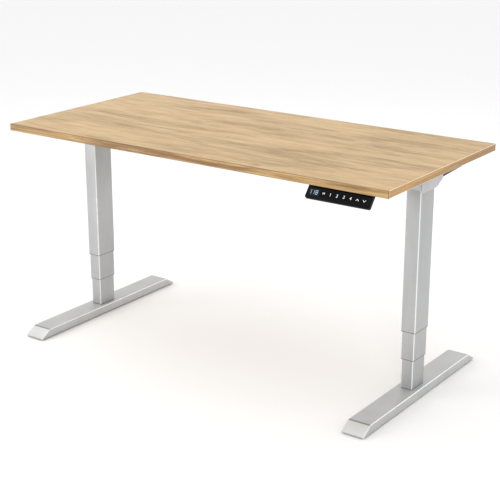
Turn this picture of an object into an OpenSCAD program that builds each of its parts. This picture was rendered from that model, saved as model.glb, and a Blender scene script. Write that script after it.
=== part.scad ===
// Electric sit-stand desk: a decor board on two three-stage lifting columns.
// Millimetres, +Z up. Origin on the floor under the middle of the desk.
// +X is the user's right, -Y is the user's side.

/* [Tabletop] */
// Length of the tabletop, left to right
top_w = 1600; // [1300:10:2000]
// Depth of the tabletop, front to back
top_d = 750; // [620:10:900]
// Thickness of the tabletop
top_t = 25; // [19:1:40]
// Thickness of the glued edge band
band_t = 2; // [1:0.5:3]

/* [Height] */
// How far each of the two stages is drawn out as drawn
stage_open = 97.5; // [5:0.5:250]
// Full travel of each stage
stage_stroke = 325; // [200:5:325]
// Length of the outer tube
outer_len = 500; // [480:10:600]

/* [Column] */
// Width of the innermost tube, left to right
inner_w = 45; // [42:1:60]
// Depth of the innermost tube, front to back
inner_d = 85; // [72:1:110]
// Wall of every column tube
tube_wall = 1.5; // [1.2:0.1:2]
// Sliding gap between two tubes, filled by the glides
tube_gap = 1; // [0.8:0.1:1.5]
// Outside corner radius of every column tube
tube_r = 4; // [2.5:0.5:6]
// Distance from the tabletop's end to the column's axis
leg_inset = 88; // [70:1:200]

/* [Foot] */
// Length of the foot along the floor
foot_len = 800; // [620:10:900]
// How far each bevelled end leans in from bottom to top
foot_bevel = 45; // [20:1:80]
// Width of the foot
foot_w = 84; // [80:1:120]
// Height of the foot's steel section
foot_h = 30; // [28:1:45]
// Wall of the foot's steel section
foot_wall = 2.5; // [2:0.1:4]
// Thickness of the levelling glide's pad
pad_h = 5; // [4:0.5:10]

/* [Head] */
// Height from the top of the outer tube to the tabletop
head_room = 60; // [56:1:80]
// Sheet thickness of brackets and arms
sheet_t = 3; // [2:0.5:4]
// Distance from the tip of a side arm to the tabletop's edge
arm_margin = 125; // [100:5:170]
// Depth of the side arm away from the motor, at the head bracket
arm_root_h = 45; // [42:1:50]
// Depth of the side arm away from the motor, at its tip
arm_tip_h = 37; // [30:1:40]
// Depth of the side arm on the motor's side, at the head bracket
motor_arm_h = 29; // [28:1:33]

/* [Crossbeam] */
// Width of the middle section's rail
rail_w = 25; // [22:1:30]
// Height of the middle section's rail
rail_h = 39; // [36:1:45]
// Wall of the rails
rail_wall = 2; // [1.5:0.1:3]
// Gap between the motor and the plate at the rail's end
rail_gap = 1.5; // [1:0.5:12]
// Half the length of the middle section
centre_half = 380; // [300:10:420]

/* [Drive] */
// Radius of the upper screw over its ridges
screw_r = 7; // [6:0.5:8]
// Pitch of the ridges on both screws
ridge_pitch = 10; // [8:1:12]
// Teeth on the worm wheel
wheel_teeth = 20; // [18:2:22]
// Module of the worm gear
gear_module = 1.5; // [1.4:0.05:1.5]
// Radius of the motor's can
motor_r = 22; // [18:1:23]
// Length of the motor's can
motor_len = 110; // [80:5:150]

/* [Handset] */
// Length of the handset
handset_w = 233; // [215:1:260]
// Height of the sloping face, along the slope
face_h = 46; // [44:1:54]
// Radius of the handset's two lower corners
handset_r = 7; // [4:0.5:8]
// Lean of the face from upright, in degrees
face_tilt = 38.5; // [25:0.5:50]
// Distance from the tabletop's right end to the handset's middle
handset_inset = 170; // [150:5:400]
// Spacing of the keys
key_pitch = 24.2; // [22:0.1:25]
// Width of a key
key_w = 21; // [16:0.5:21]
// Height of a key
key_h = 25; // [20:1:30]

/* [Control box] */
// Length of the control box
box_w = 260; // [200:5:320]
// Depth of the control box
box_d = 110; // [90:5:140]
// Height of the control box
box_h = 42; // [36:1:50]

/* [Hidden] */
$fn = 48;

silver = "silver";
oak = "burlywood";
black = [0.08, 0.08, 0.09];
charcoal = [0.2, 0.2, 0.21];
zinc = "lightsteelblue";
natural = "ivory";

sides = [-1, 1];
fit = 0.1;                 // running clearance on a radius
slide_fit = 0.1;           // clearance of a glide on the tube it guides
cut = 1;                   // how far a cutting tool overshoots a face
weld = 0.05;               // how far pieces welded together sink into each other
touch = 0.3;               // air left between parts of two moving bodies

// Levels, from the floor up
foot_top = pad_h + foot_h;
seat_gap = 10;             // inner tube that shows when the column is closed
step_gap = 5;              // middle tube that shows when the column is closed
mid_len = outer_len;
mid_z = foot_top + seat_gap + stage_open;
mid_top = mid_z + mid_len;
outer_z = mid_z + step_gap + stage_open;
outer_top = outer_z + outer_len;
underside = outer_top + head_room;
surface_z = underside + top_t;

// Tubes, from the inside out
tube_step = 2 * (tube_wall + tube_gap);
mid_w = inner_w + tube_step;
mid_d = inner_d + tube_step;
outer_w = mid_w + tube_step;
outer_d = mid_d + tube_step;
leg_x = top_w / 2 - leg_inset;

// Screws and nuts: the upper nut, the lower screw's collar and its retainer
// hang from the top of the middle tube, one below the other.
nut_h = 18;
collar_h = 6;
retainer_h = 6;
stack_gap = 0.5;
collar_top = mid_top - nut_h - stack_gap;
retainer_top = collar_top - collar_h - stack_gap;
stack_h = nut_h + collar_h + retainer_h + 2 * stack_gap;
inner_len = seat_gap + mid_len - stack_h - step_gap;
inner_top = foot_top + inner_len;
ridge_h = 1;               // depth of the ridges on both screws
hollow_r = screw_r + 2;    // bore of the lower screw
lower_r = hollow_r + 4;    // lower screw over its ridges
collar_r = lower_r + 3.5;
lower_nut_h = 30;
bush_h = 16;               // length of the key bush in the lower screw
upper_len = stage_stroke + step_gap + nut_h + bush_h + 21;
lower_len = stage_stroke + stack_h + lower_nut_h - 6;
key_slot_w = 3;
key_slot_h = 1.2;
base_plate_t = 6;
base_bolt_x = inner_w / 2 - tube_wall - 6.5;
base_bolt_y = inner_d / 2 - tube_wall - 9;
bolt_r = 3;
bolt_hole = bolt_r + 0.3;
bolt_head_r = 5;
bolt_head_h = 4;
hex_r = 2.9;               // hexagon socket in a bolt's head
hex_h = 2.5;
foot_plate_t = 5;
foot_plate_over = 70;      // how much longer the plate in the foot is than the tube is deep
bolt_seat = foot_top - foot_wall - foot_plate_t;

// Worm gear
worm_pitch_r = 7;
mesh_gap = 0.4;             // extra distance between the worm and its wheel
wheel_r = wheel_teeth * gear_module / 2;
worm_y = -(wheel_r + worm_pitch_r + mesh_gap);
worm_axial = PI * gear_module;
worm_core = worm_pitch_r - 1.25 * gear_module;
worm_tip = worm_pitch_r + gear_module;
worm_shaft_r = worm_core - 0.6;
worm_shaft_tail = 10;      // shaft that runs on into the motor
worm_phase = 90;
worm_slices = 52;
wheel_z = outer_top + 28;
wheel_h = 8;
worm_len = 16;
stub_r = screw_r - ridge_h;
stub_len = 48;
gearbox_w = outer_w - 1;   // the gearbox stands on the tube, just inside its faces
gearbox_d = outer_d - 1;
gearbox_plug = 3;          // how far the gearbox's foot reaches into the tube
wheel_well_r = wheel_r + gear_module + 1.5;
worm_bore_r = worm_tip + 1;
bearing_depth = 6;         // gearbox wall around the worm shaft's far end
motor_gap = 1;
motor_spigot = 5;          // part of the motor that centres it in the gearbox
motor_cap_h = 12;
motor_cap_r = motor_r - 4;
gland_w = 16;              // boss for the motor's lead
gland_h = 12;
gland_out = 5;             // how far the boss stands past the motor's cap
gland_rise = 6;            // height of the boss over the motor's lowest line

// Head
bracket_lap = 8;                     // how far the bracket's flanges hang over the tube
bracket_z = outer_top - bracket_lap;
bracket_w = outer_w + 2 * (sheet_t + 0.2);
bracket_foot = outer_d / 2 + 10.5;   // where the bracket's lower edge starts to rise
bracket_end = 16;                    // bracket beyond the rail's plate
rail_plate_rim = 5.5;                // plate beside the rail it carries
rail_plate_w = rail_w + 2 * rail_plate_rim;
rail_plate_t = 3;
rail_bolt_rim = 4;                   // from the bolt's axis to the plate's edge
rail_bolt_y = rail_plate_w / 2 - rail_bolt_rim;
rivet_r = 2.5;
rail_bolt_room = 0.5;                // from a bolt's shank to the gearbox
rail_plate_y = max(motor_r + rail_gap - worm_y,
    gearbox_d / 2 + rivet_r + rail_bolt_room - rail_bolt_rim);
rail_y = rail_plate_y + rail_plate_w / 2;
bracket_half = rail_y + rail_plate_w / 2 + bracket_end;
arm_tongue = 15;                     // arm that lies inside the bracket
arm_reach = top_d / 2 - arm_margin;
arm_root = bracket_half - arm_tongue;
arm_w = bracket_w - 2 * sheet_t - 1;
arm_toe = 6;                         // corner taken off the arm's tip
motor_arm_taper = 2;                 // how much the motor's side arm loses towards its tip
rivet_y = bracket_half - 8;
rivet_z = underside - 20;
rivet_head_r = 4.5;
rivet_sink = 2;                      // depth of the rivet's countersunk head
rivet_len = 10;

// Crossbeam: side rails slide in the middle section's rails
slip = 0.5;
side_rail_w = rail_w - 2 * rail_wall - 2 * slip;
side_rail_h = rail_h - 2 * rail_wall - 2 * slip;
side_rail_end = leg_x - bracket_w / 2;
side_overlap = 130;        // length of side rail inside the middle section
side_rail_start = centre_half - side_overlap;
rail_mid_z = underside - rail_h / 2;
rail_r = 2;
tie_w = 40;
tie_t = 3;
tie_x = centre_half / 2;
lock_x = centre_half - 50;
lock_len = 12;
rail_bolt_head_r = 3.4;
rail_bolt_head_h = 2.5;

// Wood screws: head under the sheet, shank in the board
wood_r = 2.4;
wood_hole = wood_r + 0.4;
wood_head_r = 4.5;
wood_head_h = 2.5;
wood_bite = 12;
arm_screw_y = [for (share = [0.22, 0.78]) bracket_half + share * (arm_reach - bracket_half)];

// Handset, drawn on its sloping face: u to the user's right, v up the slope,
// w out of the face. The face's upper edge lies on the tabletop's underside.
handset_x = top_w / 2 - handset_inset;
face_y = -top_d / 2 + 7;
panel_t = 2;
panel_edge = 2;
panel_r = handset_r - panel_edge;
key_gap = 0.4;
key_t = 3.2;
key_r = 2;
key_proud = 0.15;
key_count = 7;
first_key_u = -handset_w / 2 + 62;
display_u = -handset_w / 2 + 28;
display_w = 38;
display_h = 22;
board_w = handset_w - 14;
board_h = face_h - 12;
board_t = 1.6;
board_depth = 6.6;
board_r = 1;
well_w = handset_w - 10;
well_h = face_h - 10;
well_r = 2;
handset_back = 66;         // how far the housing runs back under the board
handset_lip = 8;           // housing below the face's lower edge
handset_flange = 3;
handset_flange_len = 24;
handset_step = 14;         // how far the wedge behind the bezel is set in at each end
bezel_t = board_depth + board_t + 1.8;
handset_screw_u = handset_w / 2 - handset_step - 8;
handset_screw_y = face_y + handset_back - handset_flange_len / 2;
handset_screw_well = 12;   // depth of the well over a screw's head
key_rim = 1.2;             // shoulder that holds a key behind the panel
key_rim_t = 1;

// Control box
box_x = -60;
box_y = rail_y + rail_w / 2 + 35;
box_plate_t = 3;
box_wall = 2.5;
box_r = 4;
ear = 14;                  // plate beside the cover, for its screws
ear_screw_y = 20;          // from the plate's end to a screw
port_deep = 3.5;
// Sockets in the cover: place in shares of the box's length, width, height
ports = [[-0.365, 28, 20], [-0.154, 16, 12], [0, 16, 12], [0.173, 14, 12]];
vent_count = 10;
vent_w = 3;
vent_pitch = 7;
vent_rim = 30;             // from the cover's end to the first vent
vent_end = 20;             // from the cover's side to a vent's end
vent_deep = 1.2;
board_drop = 9;            // from the base plate to the circuit board
board_gap = 3;             // between the circuit board and the cover
board_post_r = 3;
board_post_rim = 8;

// Places of every wood screw: [x, y, thickness of what it holds]
box_screws = [
    for (x = [box_x - box_w / 2 - ear / 2, box_x + box_w / 2 + ear / 2])
        for (y = [box_y + ear_screw_y, box_y + box_d - ear_screw_y]) [x, y, box_plate_t]
];
handset_screws = [
    for (s = sides) [handset_x + s * handset_screw_u, handset_screw_y, handset_flange]
];
arm_screws = [
    for (s = sides) for (e = sides) for (y = arm_screw_y) [s * leg_x, e * y, sheet_t]
];
wood_screws = concat(arm_screws, box_screws, handset_screws);

// A rectangle with round corners, centred on the origin
module round_rect(w, d, r) {
    square([w - 2 * r, d], center = true);
    square([w, d - 2 * r], center = true);
    for (x = sides) for (y = sides) translate([x * (w / 2 - r), y * (d / 2 - r)]) circle(r = r);
}

// Half outline of a ridged shaft from z0 up, for turning about the axis
function ridges(z0, len, r, pitch, deep) = [
    for (i = [0:floor(len / pitch) - 1])
        for (p = [[r, 0.1], [r, 0.4], [r - deep, 0.6], [r - deep, 0.9]])
            [p[0], z0 + (i + p[1]) * pitch]
];

// Puts a part drawn about the column's axis at the left or right column.
// The two columns are the same, turned half round.
module at_leg(side) {
    translate([side * leg_x, 0, 0]) rotate([0, 0, side > 0 ? 0 : 180]) children();
}

module at_foot(side, end) {
    translate([side * leg_x, end * leveler_y, 0]) children();
}

module box_tube(w, d, wall, r, len) {
    linear_extrude(len) difference() {
        round_rect(w, d, r);
        round_rect(w - 2 * wall, d - 2 * wall, max(r - wall, 0.5));
    }
}

module block(w, d, h, z) {
    translate([-w / 2, -d / 2, z]) cube([w, d, h]);
}

module four_corners(x, y) {
    for (a = sides) for (b = sides) translate([a * x, b * y, 0]) children();
}

// ---- Foot ----

foot_nose = 4;             // upright part of the foot's end
foot_bend_r = 16;          // bend between the foot's top and its sloping end
foot_slope = atan2(foot_h - foot_nose, foot_bevel);

// Side outline of the foot, inset from its skin and cut off at the given height
function foot_outline(inset, low) = let (
    half = foot_len / 2 - inset / sin(foot_slope),
    top = foot_top - inset,
    r = foot_bend_r - inset,
    bend_y = half - (top - pad_h - foot_nose) / tan(foot_slope) - r * tan(foot_slope / 2),
    bend = [for (i = [0:8]) let (a = 90 - foot_slope * i / 8) [bend_y + r * cos(a), top - r + r * sin(a)]]
) concat(
    [[-half, low], [half, low], [half, pad_h + foot_nose]],
    [for (i = [8:-1:0]) bend[i]],
    [for (p = bend) [-p[0], p[1]]],
    [[-half, pad_h + foot_nose]]
);

module along_x(w) {
    translate([-w / 2, 0, 0]) rotate([90, 0, 90]) linear_extrude(w) children();
}

leveler_y = foot_len / 2 - 95;
leveler_stud_r = 4;
leveler_plate_t = 3;
leveler_plate_len = 44;
leveler_pad_r = 16;
leveler_edge = 1.5;        // chamfer round the pad's lower edge
leveler_stud_h = foot_h - foot_wall - 6;

module foot() {
    color(silver) difference() {
        union() {
            difference() {
                along_x(foot_w) polygon(foot_outline(0, pad_h));
                along_x(foot_w - 2 * foot_wall) polygon(foot_outline(foot_wall, pad_h - cut));
            }
            for (e = sides) translate([0, e * leveler_y, 0])
                block(foot_w - 2 * foot_wall, leveler_plate_len, leveler_plate_t, pad_h);
        }
        four_corners(base_bolt_x, base_bolt_y)
            translate([0, 0, foot_top - foot_wall - cut]) cylinder(r = bolt_hole, h = foot_wall + 2 * cut);
        for (e = sides) translate([0, e * leveler_y, pad_h - cut])
            cylinder(r = leveler_stud_r + fit, h = leveler_plate_t + 2 * cut);
    }
}

module foot_plate() {
    color(zinc) difference() {
        block(foot_w - 2 * foot_wall, inner_d + foot_plate_over, foot_plate_t, bolt_seat);
        four_corners(base_bolt_x, base_bolt_y) translate([0, 0, bolt_seat - cut])
            cylinder(r = bolt_hole, h = foot_plate_t + 2 * cut);
    }
}

module column_bolt_set() {
    color(zinc) four_corners(base_bolt_x, base_bolt_y) difference() {
        union() {
            translate([0, 0, bolt_seat]) cylinder(r = bolt_r, h = foot_top + base_plate_t - bolt_seat);
            translate([0, 0, bolt_seat - bolt_head_h]) cylinder(r = bolt_head_r, h = bolt_head_h);
        }
        translate([0, 0, bolt_seat - bolt_head_h - cut]) cylinder(r = hex_r, h = hex_h + cut, $fn = 6);
    }
}

// A rubber pad on a threaded stud
module leveler() {
    color(charcoal) union() {
        rotate_extrude() polygon([
            [0, 0], [leveler_pad_r - leveler_edge, 0], [leveler_pad_r, leveler_edge],
            [leveler_pad_r, pad_h - leveler_edge],
            [leveler_pad_r - 1, pad_h - touch], [0, pad_h - touch]
        ]);
        translate([0, 0, pad_h - cut]) cylinder(r = leveler_stud_r, h = leveler_stud_h + cut);
    }
}

// ---- Column ----

module inner_tube() {
    color(silver) difference() {
        union() {
            translate([0, 0, foot_top]) box_tube(inner_w, inner_d, tube_wall, tube_r, inner_len);
            block(inner_w - 2 * tube_wall, inner_d - 2 * tube_wall, base_plate_t, foot_top);
        }
        four_corners(base_bolt_x, base_bolt_y)
            translate([0, 0, foot_top - cut]) cylinder(r = bolt_r + fit, h = base_plate_t + 2 * cut);
    }
}

module mid_tube() {
    color(silver) translate([0, 0, mid_z]) box_tube(mid_w, mid_d, tube_wall, tube_r, mid_len);
}

module outer_tube() {
    color(silver) translate([0, 0, outer_z]) box_tube(outer_w, outer_d, tube_wall, tube_r, outer_len);
}

glide_len = 50;
pad_ring_len = 40;

// Collar outside the top of a tube, running on the inside of the next tube
module collar_glide(w, d, r, top) {
    color(natural) translate([0, 0, top - glide_len]) difference() {
        linear_extrude(glide_len) round_rect(
            w + 2 * (tube_gap - slide_fit), d + 2 * (tube_gap - slide_fit), r + tube_gap - slide_fit);
        translate([0, 0, -cut]) linear_extrude(glide_len + 2 * cut) round_rect(w, d, r);
    }
}

// Ring inside the mouth of a tube, running on the outside of the next tube in
module mouth_glide(w, d, r, mouth) {
    color(natural) translate([0, 0, mouth + 2]) difference() {
        linear_extrude(pad_ring_len) round_rect(
            w + 2 * tube_gap, d + 2 * tube_gap, r + tube_gap);
        translate([0, 0, -cut]) linear_extrude(pad_ring_len + 2 * cut) round_rect(
            w + 2 * slide_fit, d + 2 * slide_fit, r + slide_fit);
    }
}

module inner_glide() {
    collar_glide(inner_w, inner_d, tube_r, inner_top);
}

module mid_glides() {
    collar_glide(mid_w, mid_d, tube_r, mid_top);
    mouth_glide(inner_w, inner_d, tube_r, mid_z);
}

module outer_glide() {
    mouth_glide(mid_w, mid_d, tube_r, outer_z);
}

// ---- Spindle ----

module key_slots(r, deep, z, len) {
    for (s = sides) translate([s > 0 ? r - deep : -r - cut, -key_slot_w / 2, z])
        cube([deep + cut, key_slot_w, len]);
}

module upper_screw() {
    z0 = outer_top - upper_len;
    color(zinc) difference() {
        rotate_extrude() polygon(concat(
            [[0, z0], [screw_r - ridge_h, z0]],
            ridges(z0, upper_len, screw_r, ridge_pitch, ridge_h),
            [[screw_r - ridge_h, outer_top - 1], [stub_r, outer_top - 1],
             [stub_r, outer_top + stub_len], [0, outer_top + stub_len]]
        ));
        key_slots(screw_r, ridge_h + key_slot_h, z0 - cut, upper_len + cut - 4);
    }
}

module lower_screw() {
    z0 = collar_top - lower_len;
    neck = retainer_top - retainer_h - 1;
    color(zinc) rotate_extrude() polygon(concat(
        [[hollow_r, z0], [lower_r - ridge_h, z0]],
        ridges(z0, neck - z0, lower_r, ridge_pitch, ridge_h),
        [[lower_r - ridge_h, neck], [lower_r - ridge_h, collar_top - collar_h],
         [collar_r, collar_top - collar_h], [collar_r, collar_top], [hollow_r, collar_top]]
    ));
}

// Bush in the lower screw; its two keys run in the upper screw's slots
module key_bush() {
    deep = ridge_h + key_slot_h;
    color(natural) translate([0, 0, collar_top - bush_h]) {
        difference() {
            cylinder(r = hollow_r, h = bush_h);
            translate([0, 0, -cut]) cylinder(r = screw_r + fit, h = bush_h + 2 * cut);
        }
        for (s = sides)
            translate([s > 0 ? screw_r - deep + 2 * fit : -(screw_r + 1), -key_slot_w / 2 + fit, 0])
                cube([deep + 1 - 2 * fit, key_slot_w - 2 * fit, bush_h]);
    }
}

// Nut for the upper screw, and the retainer below the lower screw's collar
module upper_nut() {
    w = mid_w - 2 * tube_wall;
    d = mid_d - 2 * tube_wall;
    r = tube_r - tube_wall;
    color(natural) {
        translate([0, 0, mid_top - nut_h]) difference() {
            linear_extrude(nut_h) round_rect(w, d, r);
            translate([0, 0, -cut]) cylinder(r = screw_r + fit, h = nut_h + 2 * cut);
        }
        translate([0, 0, retainer_top - retainer_h]) difference() {
            linear_extrude(retainer_h) round_rect(w, d, r);
            translate([0, 0, -cut]) cylinder(r = lower_r - ridge_h + fit, h = retainer_h + 2 * cut);
        }
    }
}

module lower_nut() {
    color(natural) translate([0, 0, inner_top - lower_nut_h]) difference() {
        linear_extrude(lower_nut_h) round_rect(
            inner_w - 2 * tube_wall, inner_d - 2 * tube_wall, max(tube_r - tube_wall, 0.5));
        translate([0, 0, -cut]) cylinder(r = lower_r + fit, h = lower_nut_h + 2 * cut);
    }
}

// ---- Gear head ----

function ngon(r, n) = [for (i = [0:n - 1]) [r * cos(360 * i / n), r * sin(360 * i / n)]];

wheel_twist = -atan(worm_axial / (2 * PI * worm_pitch_r)) * wheel_h / wheel_r;

// Teeth as [half thickness, height over the pitch circle], in modules. The
// worm lies on the -Y side and meets a gap between two teeth there.
function wheel_outline() = [
    for (i = [0:wheel_teeth - 1])
        for (p = [[-0.57, -1.25], [-0.4, 0.85], [0.4, 0.85], [0.57, -1.25]])
            let (r = wheel_r + p[1] * gear_module,
                 a = -90 + (i + 0.5) * 360 / wheel_teeth + asin(p[0] * gear_module / r))
            [r * cos(a), r * sin(a)]
];

module worm_wheel() {
    color("peru") translate([0, 0, wheel_z]) difference() {
        rotate([0, 0, wheel_twist / 2])
            linear_extrude(wheel_h, twist = wheel_twist, slices = 3, center = true)
                polygon(wheel_outline());
        linear_extrude(wheel_h + 2 * cut, center = true) polygon(ngon(stub_r + fit, 24));
    }
}

// Section across the worm: the radius follows one thread round the turn,
// with its crest and its root as distances along the axis.
worm_crest = 0.2 * gear_module;
worm_root = 0.6 * gear_module;
function worm_section() = [
    for (i = [0:23])
        let (a = i * 15,
             off = abs(a - 180) * worm_axial / 360,
             flank = (off - worm_crest) / (worm_root - worm_crest),
             r = worm_tip - (worm_tip - worm_core) * max(0, min(1, flank)))
        [r * cos(a), r * sin(a)]
];

// The worm and its shaft, along X. The thread's crest faces away from the
// wheel at the middle of the worm, so a wheel tooth sits between two turns.
module worm_shaft() {
    turn = 360 * worm_len / worm_axial;
    color(zinc) translate([0, worm_y, wheel_z]) union() {
        rotate([0, 90, 0]) rotate([0, 0, worm_phase])
            linear_extrude(worm_len, twist = -turn, slices = worm_slices, center = true)
                polygon(worm_section());
        translate([-gearbox_w / 2 - worm_shaft_tail, 0, 0]) rotate([0, 90, 0])
            cylinder(r = worm_shaft_r, h = gearbox_w + worm_shaft_tail - bearing_depth);
    }
}

module gearbox() {
    floor_h = wheel_z - wheel_h / 2 - 3 - outer_top;
    foot_z = outer_top - gearbox_plug;
    color(silver) difference() {
        union() {
            translate([0, 0, outer_top]) linear_extrude(head_room - sheet_t)
                round_rect(gearbox_w, gearbox_d, tube_r);
            translate([0, 0, foot_z]) linear_extrude(gearbox_plug + cut) round_rect(
                outer_w - 2 * (tube_wall + fit), outer_d - 2 * (tube_wall + fit), tube_r - tube_wall);
        }
        translate([0, 0, foot_z - cut]) cylinder(r = stub_r + fit, h = floor_h + gearbox_plug + 2 * cut);
        translate([0, 0, foot_z - cut]) cylinder(r = screw_r + 1, h = gearbox_plug + cut);
        translate([0, 0, outer_top + floor_h]) cylinder(r = wheel_well_r, h = head_room);
        translate([-gearbox_w / 2 - cut, worm_y, wheel_z]) rotate([0, 90, 0])
            cylinder(r = worm_bore_r, h = (gearbox_w + worm_len) / 2 + bearing_depth + cut);
        translate([0, worm_y, wheel_z]) rotate([0, 90, 0])
            cylinder(r = worm_shaft_r + fit, h = gearbox_w / 2 - bearing_depth + 2);
    }
}

module motor() {
    face = -gearbox_w / 2;
    color(charcoal) translate([0, worm_y, wheel_z]) difference() {
        union() {
            translate([face - motor_len, 0, 0]) rotate([0, 90, 0]) cylinder(r = motor_r, h = motor_len);
            translate([face - motor_len - motor_cap_h, 0, 0]) rotate([0, 90, 0])
                cylinder(r = motor_cap_r, h = motor_cap_h + cut);
            translate([face - motor_len - motor_cap_h - gland_out, -gland_w / 2, gland_rise - motor_r])
                cube([gland_out + cut, gland_w, gland_h]);
            translate([face - cut, 0, 0]) rotate([0, 90, 0])
                cylinder(r = worm_bore_r - fit, h = motor_spigot + cut);
        }
        translate([face - worm_shaft_tail - 2, 0, 0]) rotate([0, 90, 0])
            cylinder(r = worm_shaft_r + fit, h = worm_shaft_tail + motor_spigot + 2 + cut);
    }
}

// ---- Head bracket and side arms ----

// Side outline of a flange: shallow on the motor's side of the tube, and deep
// from the tube's face back, where it carries the deep arm
function flange_outline() = let (low = bracket_z, top = underside, edge = -outer_d / 2) [
    [-bracket_half, top], [-bracket_half, top - motor_arm_h], [edge, top - motor_arm_h],
    [edge, low], [bracket_foot, low], [bracket_half, top - arm_root_h], [bracket_half, top]
];

module countersink(x, out) {
    translate([x, 0, 0]) rotate([0, out > 0 ? 90 : -90, 0]) {
        translate([0, 0, -sheet_t - cut]) cylinder(r = rivet_r + fit, h = sheet_t + 2 * cut);
        translate([0, 0, -rivet_sink]) cylinder(r1 = rivet_r + fit, r2 = rivet_head_r + fit, h = rivet_sink);
        cylinder(r = rivet_head_r + fit, h = cut);
    }
}

module at_rivets() {
    for (e = sides) translate([0, e * rivet_y, rivet_z]) children();
}

module head_bracket() {
    half = bracket_w / 2;
    color(silver) difference() {
        union() {
            block(bracket_w, 2 * bracket_half, sheet_t, underside - sheet_t);
            for (s = sides) translate([s * (half - sheet_t / 2), 0, 0])
                along_x(sheet_t) polygon(flange_outline());
        }
        translate([-half - cut, worm_y, wheel_z]) rotate([0, 90, 0])
            cylinder(r = motor_r + motor_gap, h = sheet_t + 2 * cut);
        at_rivets() for (s = sides) countersink(s * half, s);
        for (e = sides) translate([-half - cut, e * rail_y, rail_mid_z]) rotate([0, 90, 0])
            for (k = sides) translate([0, k * rail_bolt_y, 0])
                cylinder(r = rivet_r + fit, h = sheet_t + 2 * cut);
    }
}

// One arm, running back from the head bracket
function arm_outline(root_h, tip_h) = [
    [arm_root, underside - sheet_t - touch], [arm_root, underside - root_h],
    [bracket_half, underside - root_h], [arm_reach - arm_toe, underside - tip_h],
    [arm_reach, underside - tip_h + arm_toe], [arm_reach, underside - 1],
    [bracket_half + touch, underside - 1], [bracket_half + touch, underside - sheet_t - touch]
];

module side_arm(root_h, tip_h) {
    half = arm_w / 2;
    difference() {
        union() {
            for (s = sides) translate([s * (half - sheet_t / 2), 0, 0])
                along_x(sheet_t) polygon(arm_outline(root_h, tip_h));
            translate([-half, bracket_half + touch, underside - sheet_t])
                cube([arm_w, arm_reach - bracket_half - touch, sheet_t]);
            translate([-half, arm_reach - sheet_t, underside - tip_h + arm_toe])
                cube([arm_w, sheet_t, tip_h - arm_toe]);
        }
        for (y = arm_screw_y) translate([0, y, underside - sheet_t - cut])
            cylinder(r = wood_hole, h = sheet_t + 2 * cut);
        translate([0, rivet_y, rivet_z]) rotate([0, 90, 0])
            cylinder(r = rivet_r + fit, h = arm_w + 2 * cut, center = true);
    }
}

module side_arms() {
    color(black) {
        side_arm(arm_root_h, arm_tip_h);
        rotate([0, 0, 180]) side_arm(motor_arm_h, motor_arm_h - motor_arm_taper);
    }
}

// ---- Crossbeam ----

module rail(w, h, wall, x0, x1) {
    translate([x0, 0, rail_mid_z]) rotate([90, 0, 90]) linear_extrude(x1 - x0) difference() {
        round_rect(w, h, rail_r);
        round_rect(w - 2 * wall, h - 2 * wall, slip);
    }
}

module crossbeam_center() {
    color(silver) difference() {
        union() {
            for (e = sides) translate([0, e * rail_y, 0])
                rail(rail_w, rail_h, rail_wall, -centre_half, centre_half);
            for (x = [-tie_x, tie_x]) translate([x, 0, 0])
                block(tie_w, 2 * rail_y + rail_w, tie_t, underside - rail_h - tie_t + weld);
        }
        for (s = sides) for (e = sides)
            translate([s * lock_x, e * rail_y, underside - rail_h - cut])
                cylinder(r = bolt_hole, h = rail_wall + 2 * cut);
    }
}

// Two rails with a bolting plate where they meet the head bracket
module crossbeam_side() {
    color(silver) for (e = sides) translate([0, e * rail_y, 0]) difference() {
        union() {
            rail(side_rail_w, side_rail_h, rail_wall, side_rail_start, side_rail_end);
            translate([side_rail_end - rail_plate_t, -rail_plate_w / 2, rail_mid_z - side_rail_h / 2])
                cube([rail_plate_t, rail_plate_w, side_rail_h]);
        }
        translate([lock_x, 0, underside - rail_h]) cylinder(r = bolt_hole, h = rail_h / 2);
        translate([side_rail_end - rail_plate_t - cut, 0, rail_mid_z]) rotate([0, 90, 0])
            for (k = sides) translate([0, k * rail_bolt_y, 0])
                cylinder(r = rivet_r + fit, h = rail_plate_t + 2 * cut);
    }
}

module round_head_screw(r, head_r, head_h, len) {
    rotate_extrude() polygon([
        [0, -head_h], [head_r * 0.6, -head_h], [head_r, -head_h * 0.4], [head_r, 0],
        [r, 0], [r, len - r], [r * 0.3, len], [0, len]
    ]);
}

module countersunk_screw(len) {
    rotate_extrude() polygon([
        [0, 0], [rivet_head_r, 0], [rivet_r, rivet_sink], [rivet_r, len], [0, len]
    ]);
}

module crossbeam_screws() {
    color(zinc) {
        for (s = sides) for (e = sides)
            translate([s * lock_x, e * rail_y, underside - rail_h])
                round_head_screw(bolt_r, bolt_head_r, bolt_head_h, lock_len);
        for (side = sides) at_leg(side) {
            at_rivets() for (s = sides) translate([s * bracket_w / 2, 0, 0])
                rotate([0, s > 0 ? -90 : 90, 0]) countersunk_screw(rivet_len);
            for (e = sides) for (k = sides)
                translate([-bracket_w / 2 - rail_plate_t, e * rail_y + k * rail_bolt_y, rail_mid_z])
                    rotate([0, 90, 0]) round_head_screw(
                        rivet_r, rail_bolt_head_r, rail_bolt_head_h, rail_plate_t + sheet_t + 3);
        }
    }
}

// ---- Tabletop ----

module tabletop_board() {
    color(oak) difference() {
        block(top_w - 2 * band_t, top_d - 2 * band_t, top_t, underside);
        for (p = wood_screws) translate([p[0], p[1], underside - cut])
            cylinder(r = wood_r + fit, h = wood_bite + 2 + cut);
    }
}

// Band section: flat on the board's side, eased at both outer corners
function band_outline() = let (ease = band_t * 0.7) concat(
    [[0, underside], [band_t - ease, underside]],
    [for (a = [-67.5:22.5:0]) [band_t - ease + ease * cos(a), underside + ease + ease * sin(a)]],
    [for (a = [0:22.5:67.5]) [band_t - ease + ease * cos(a), surface_z - ease + ease * sin(a)]],
    [[band_t - ease, surface_z], [0, surface_z]]
);

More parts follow.
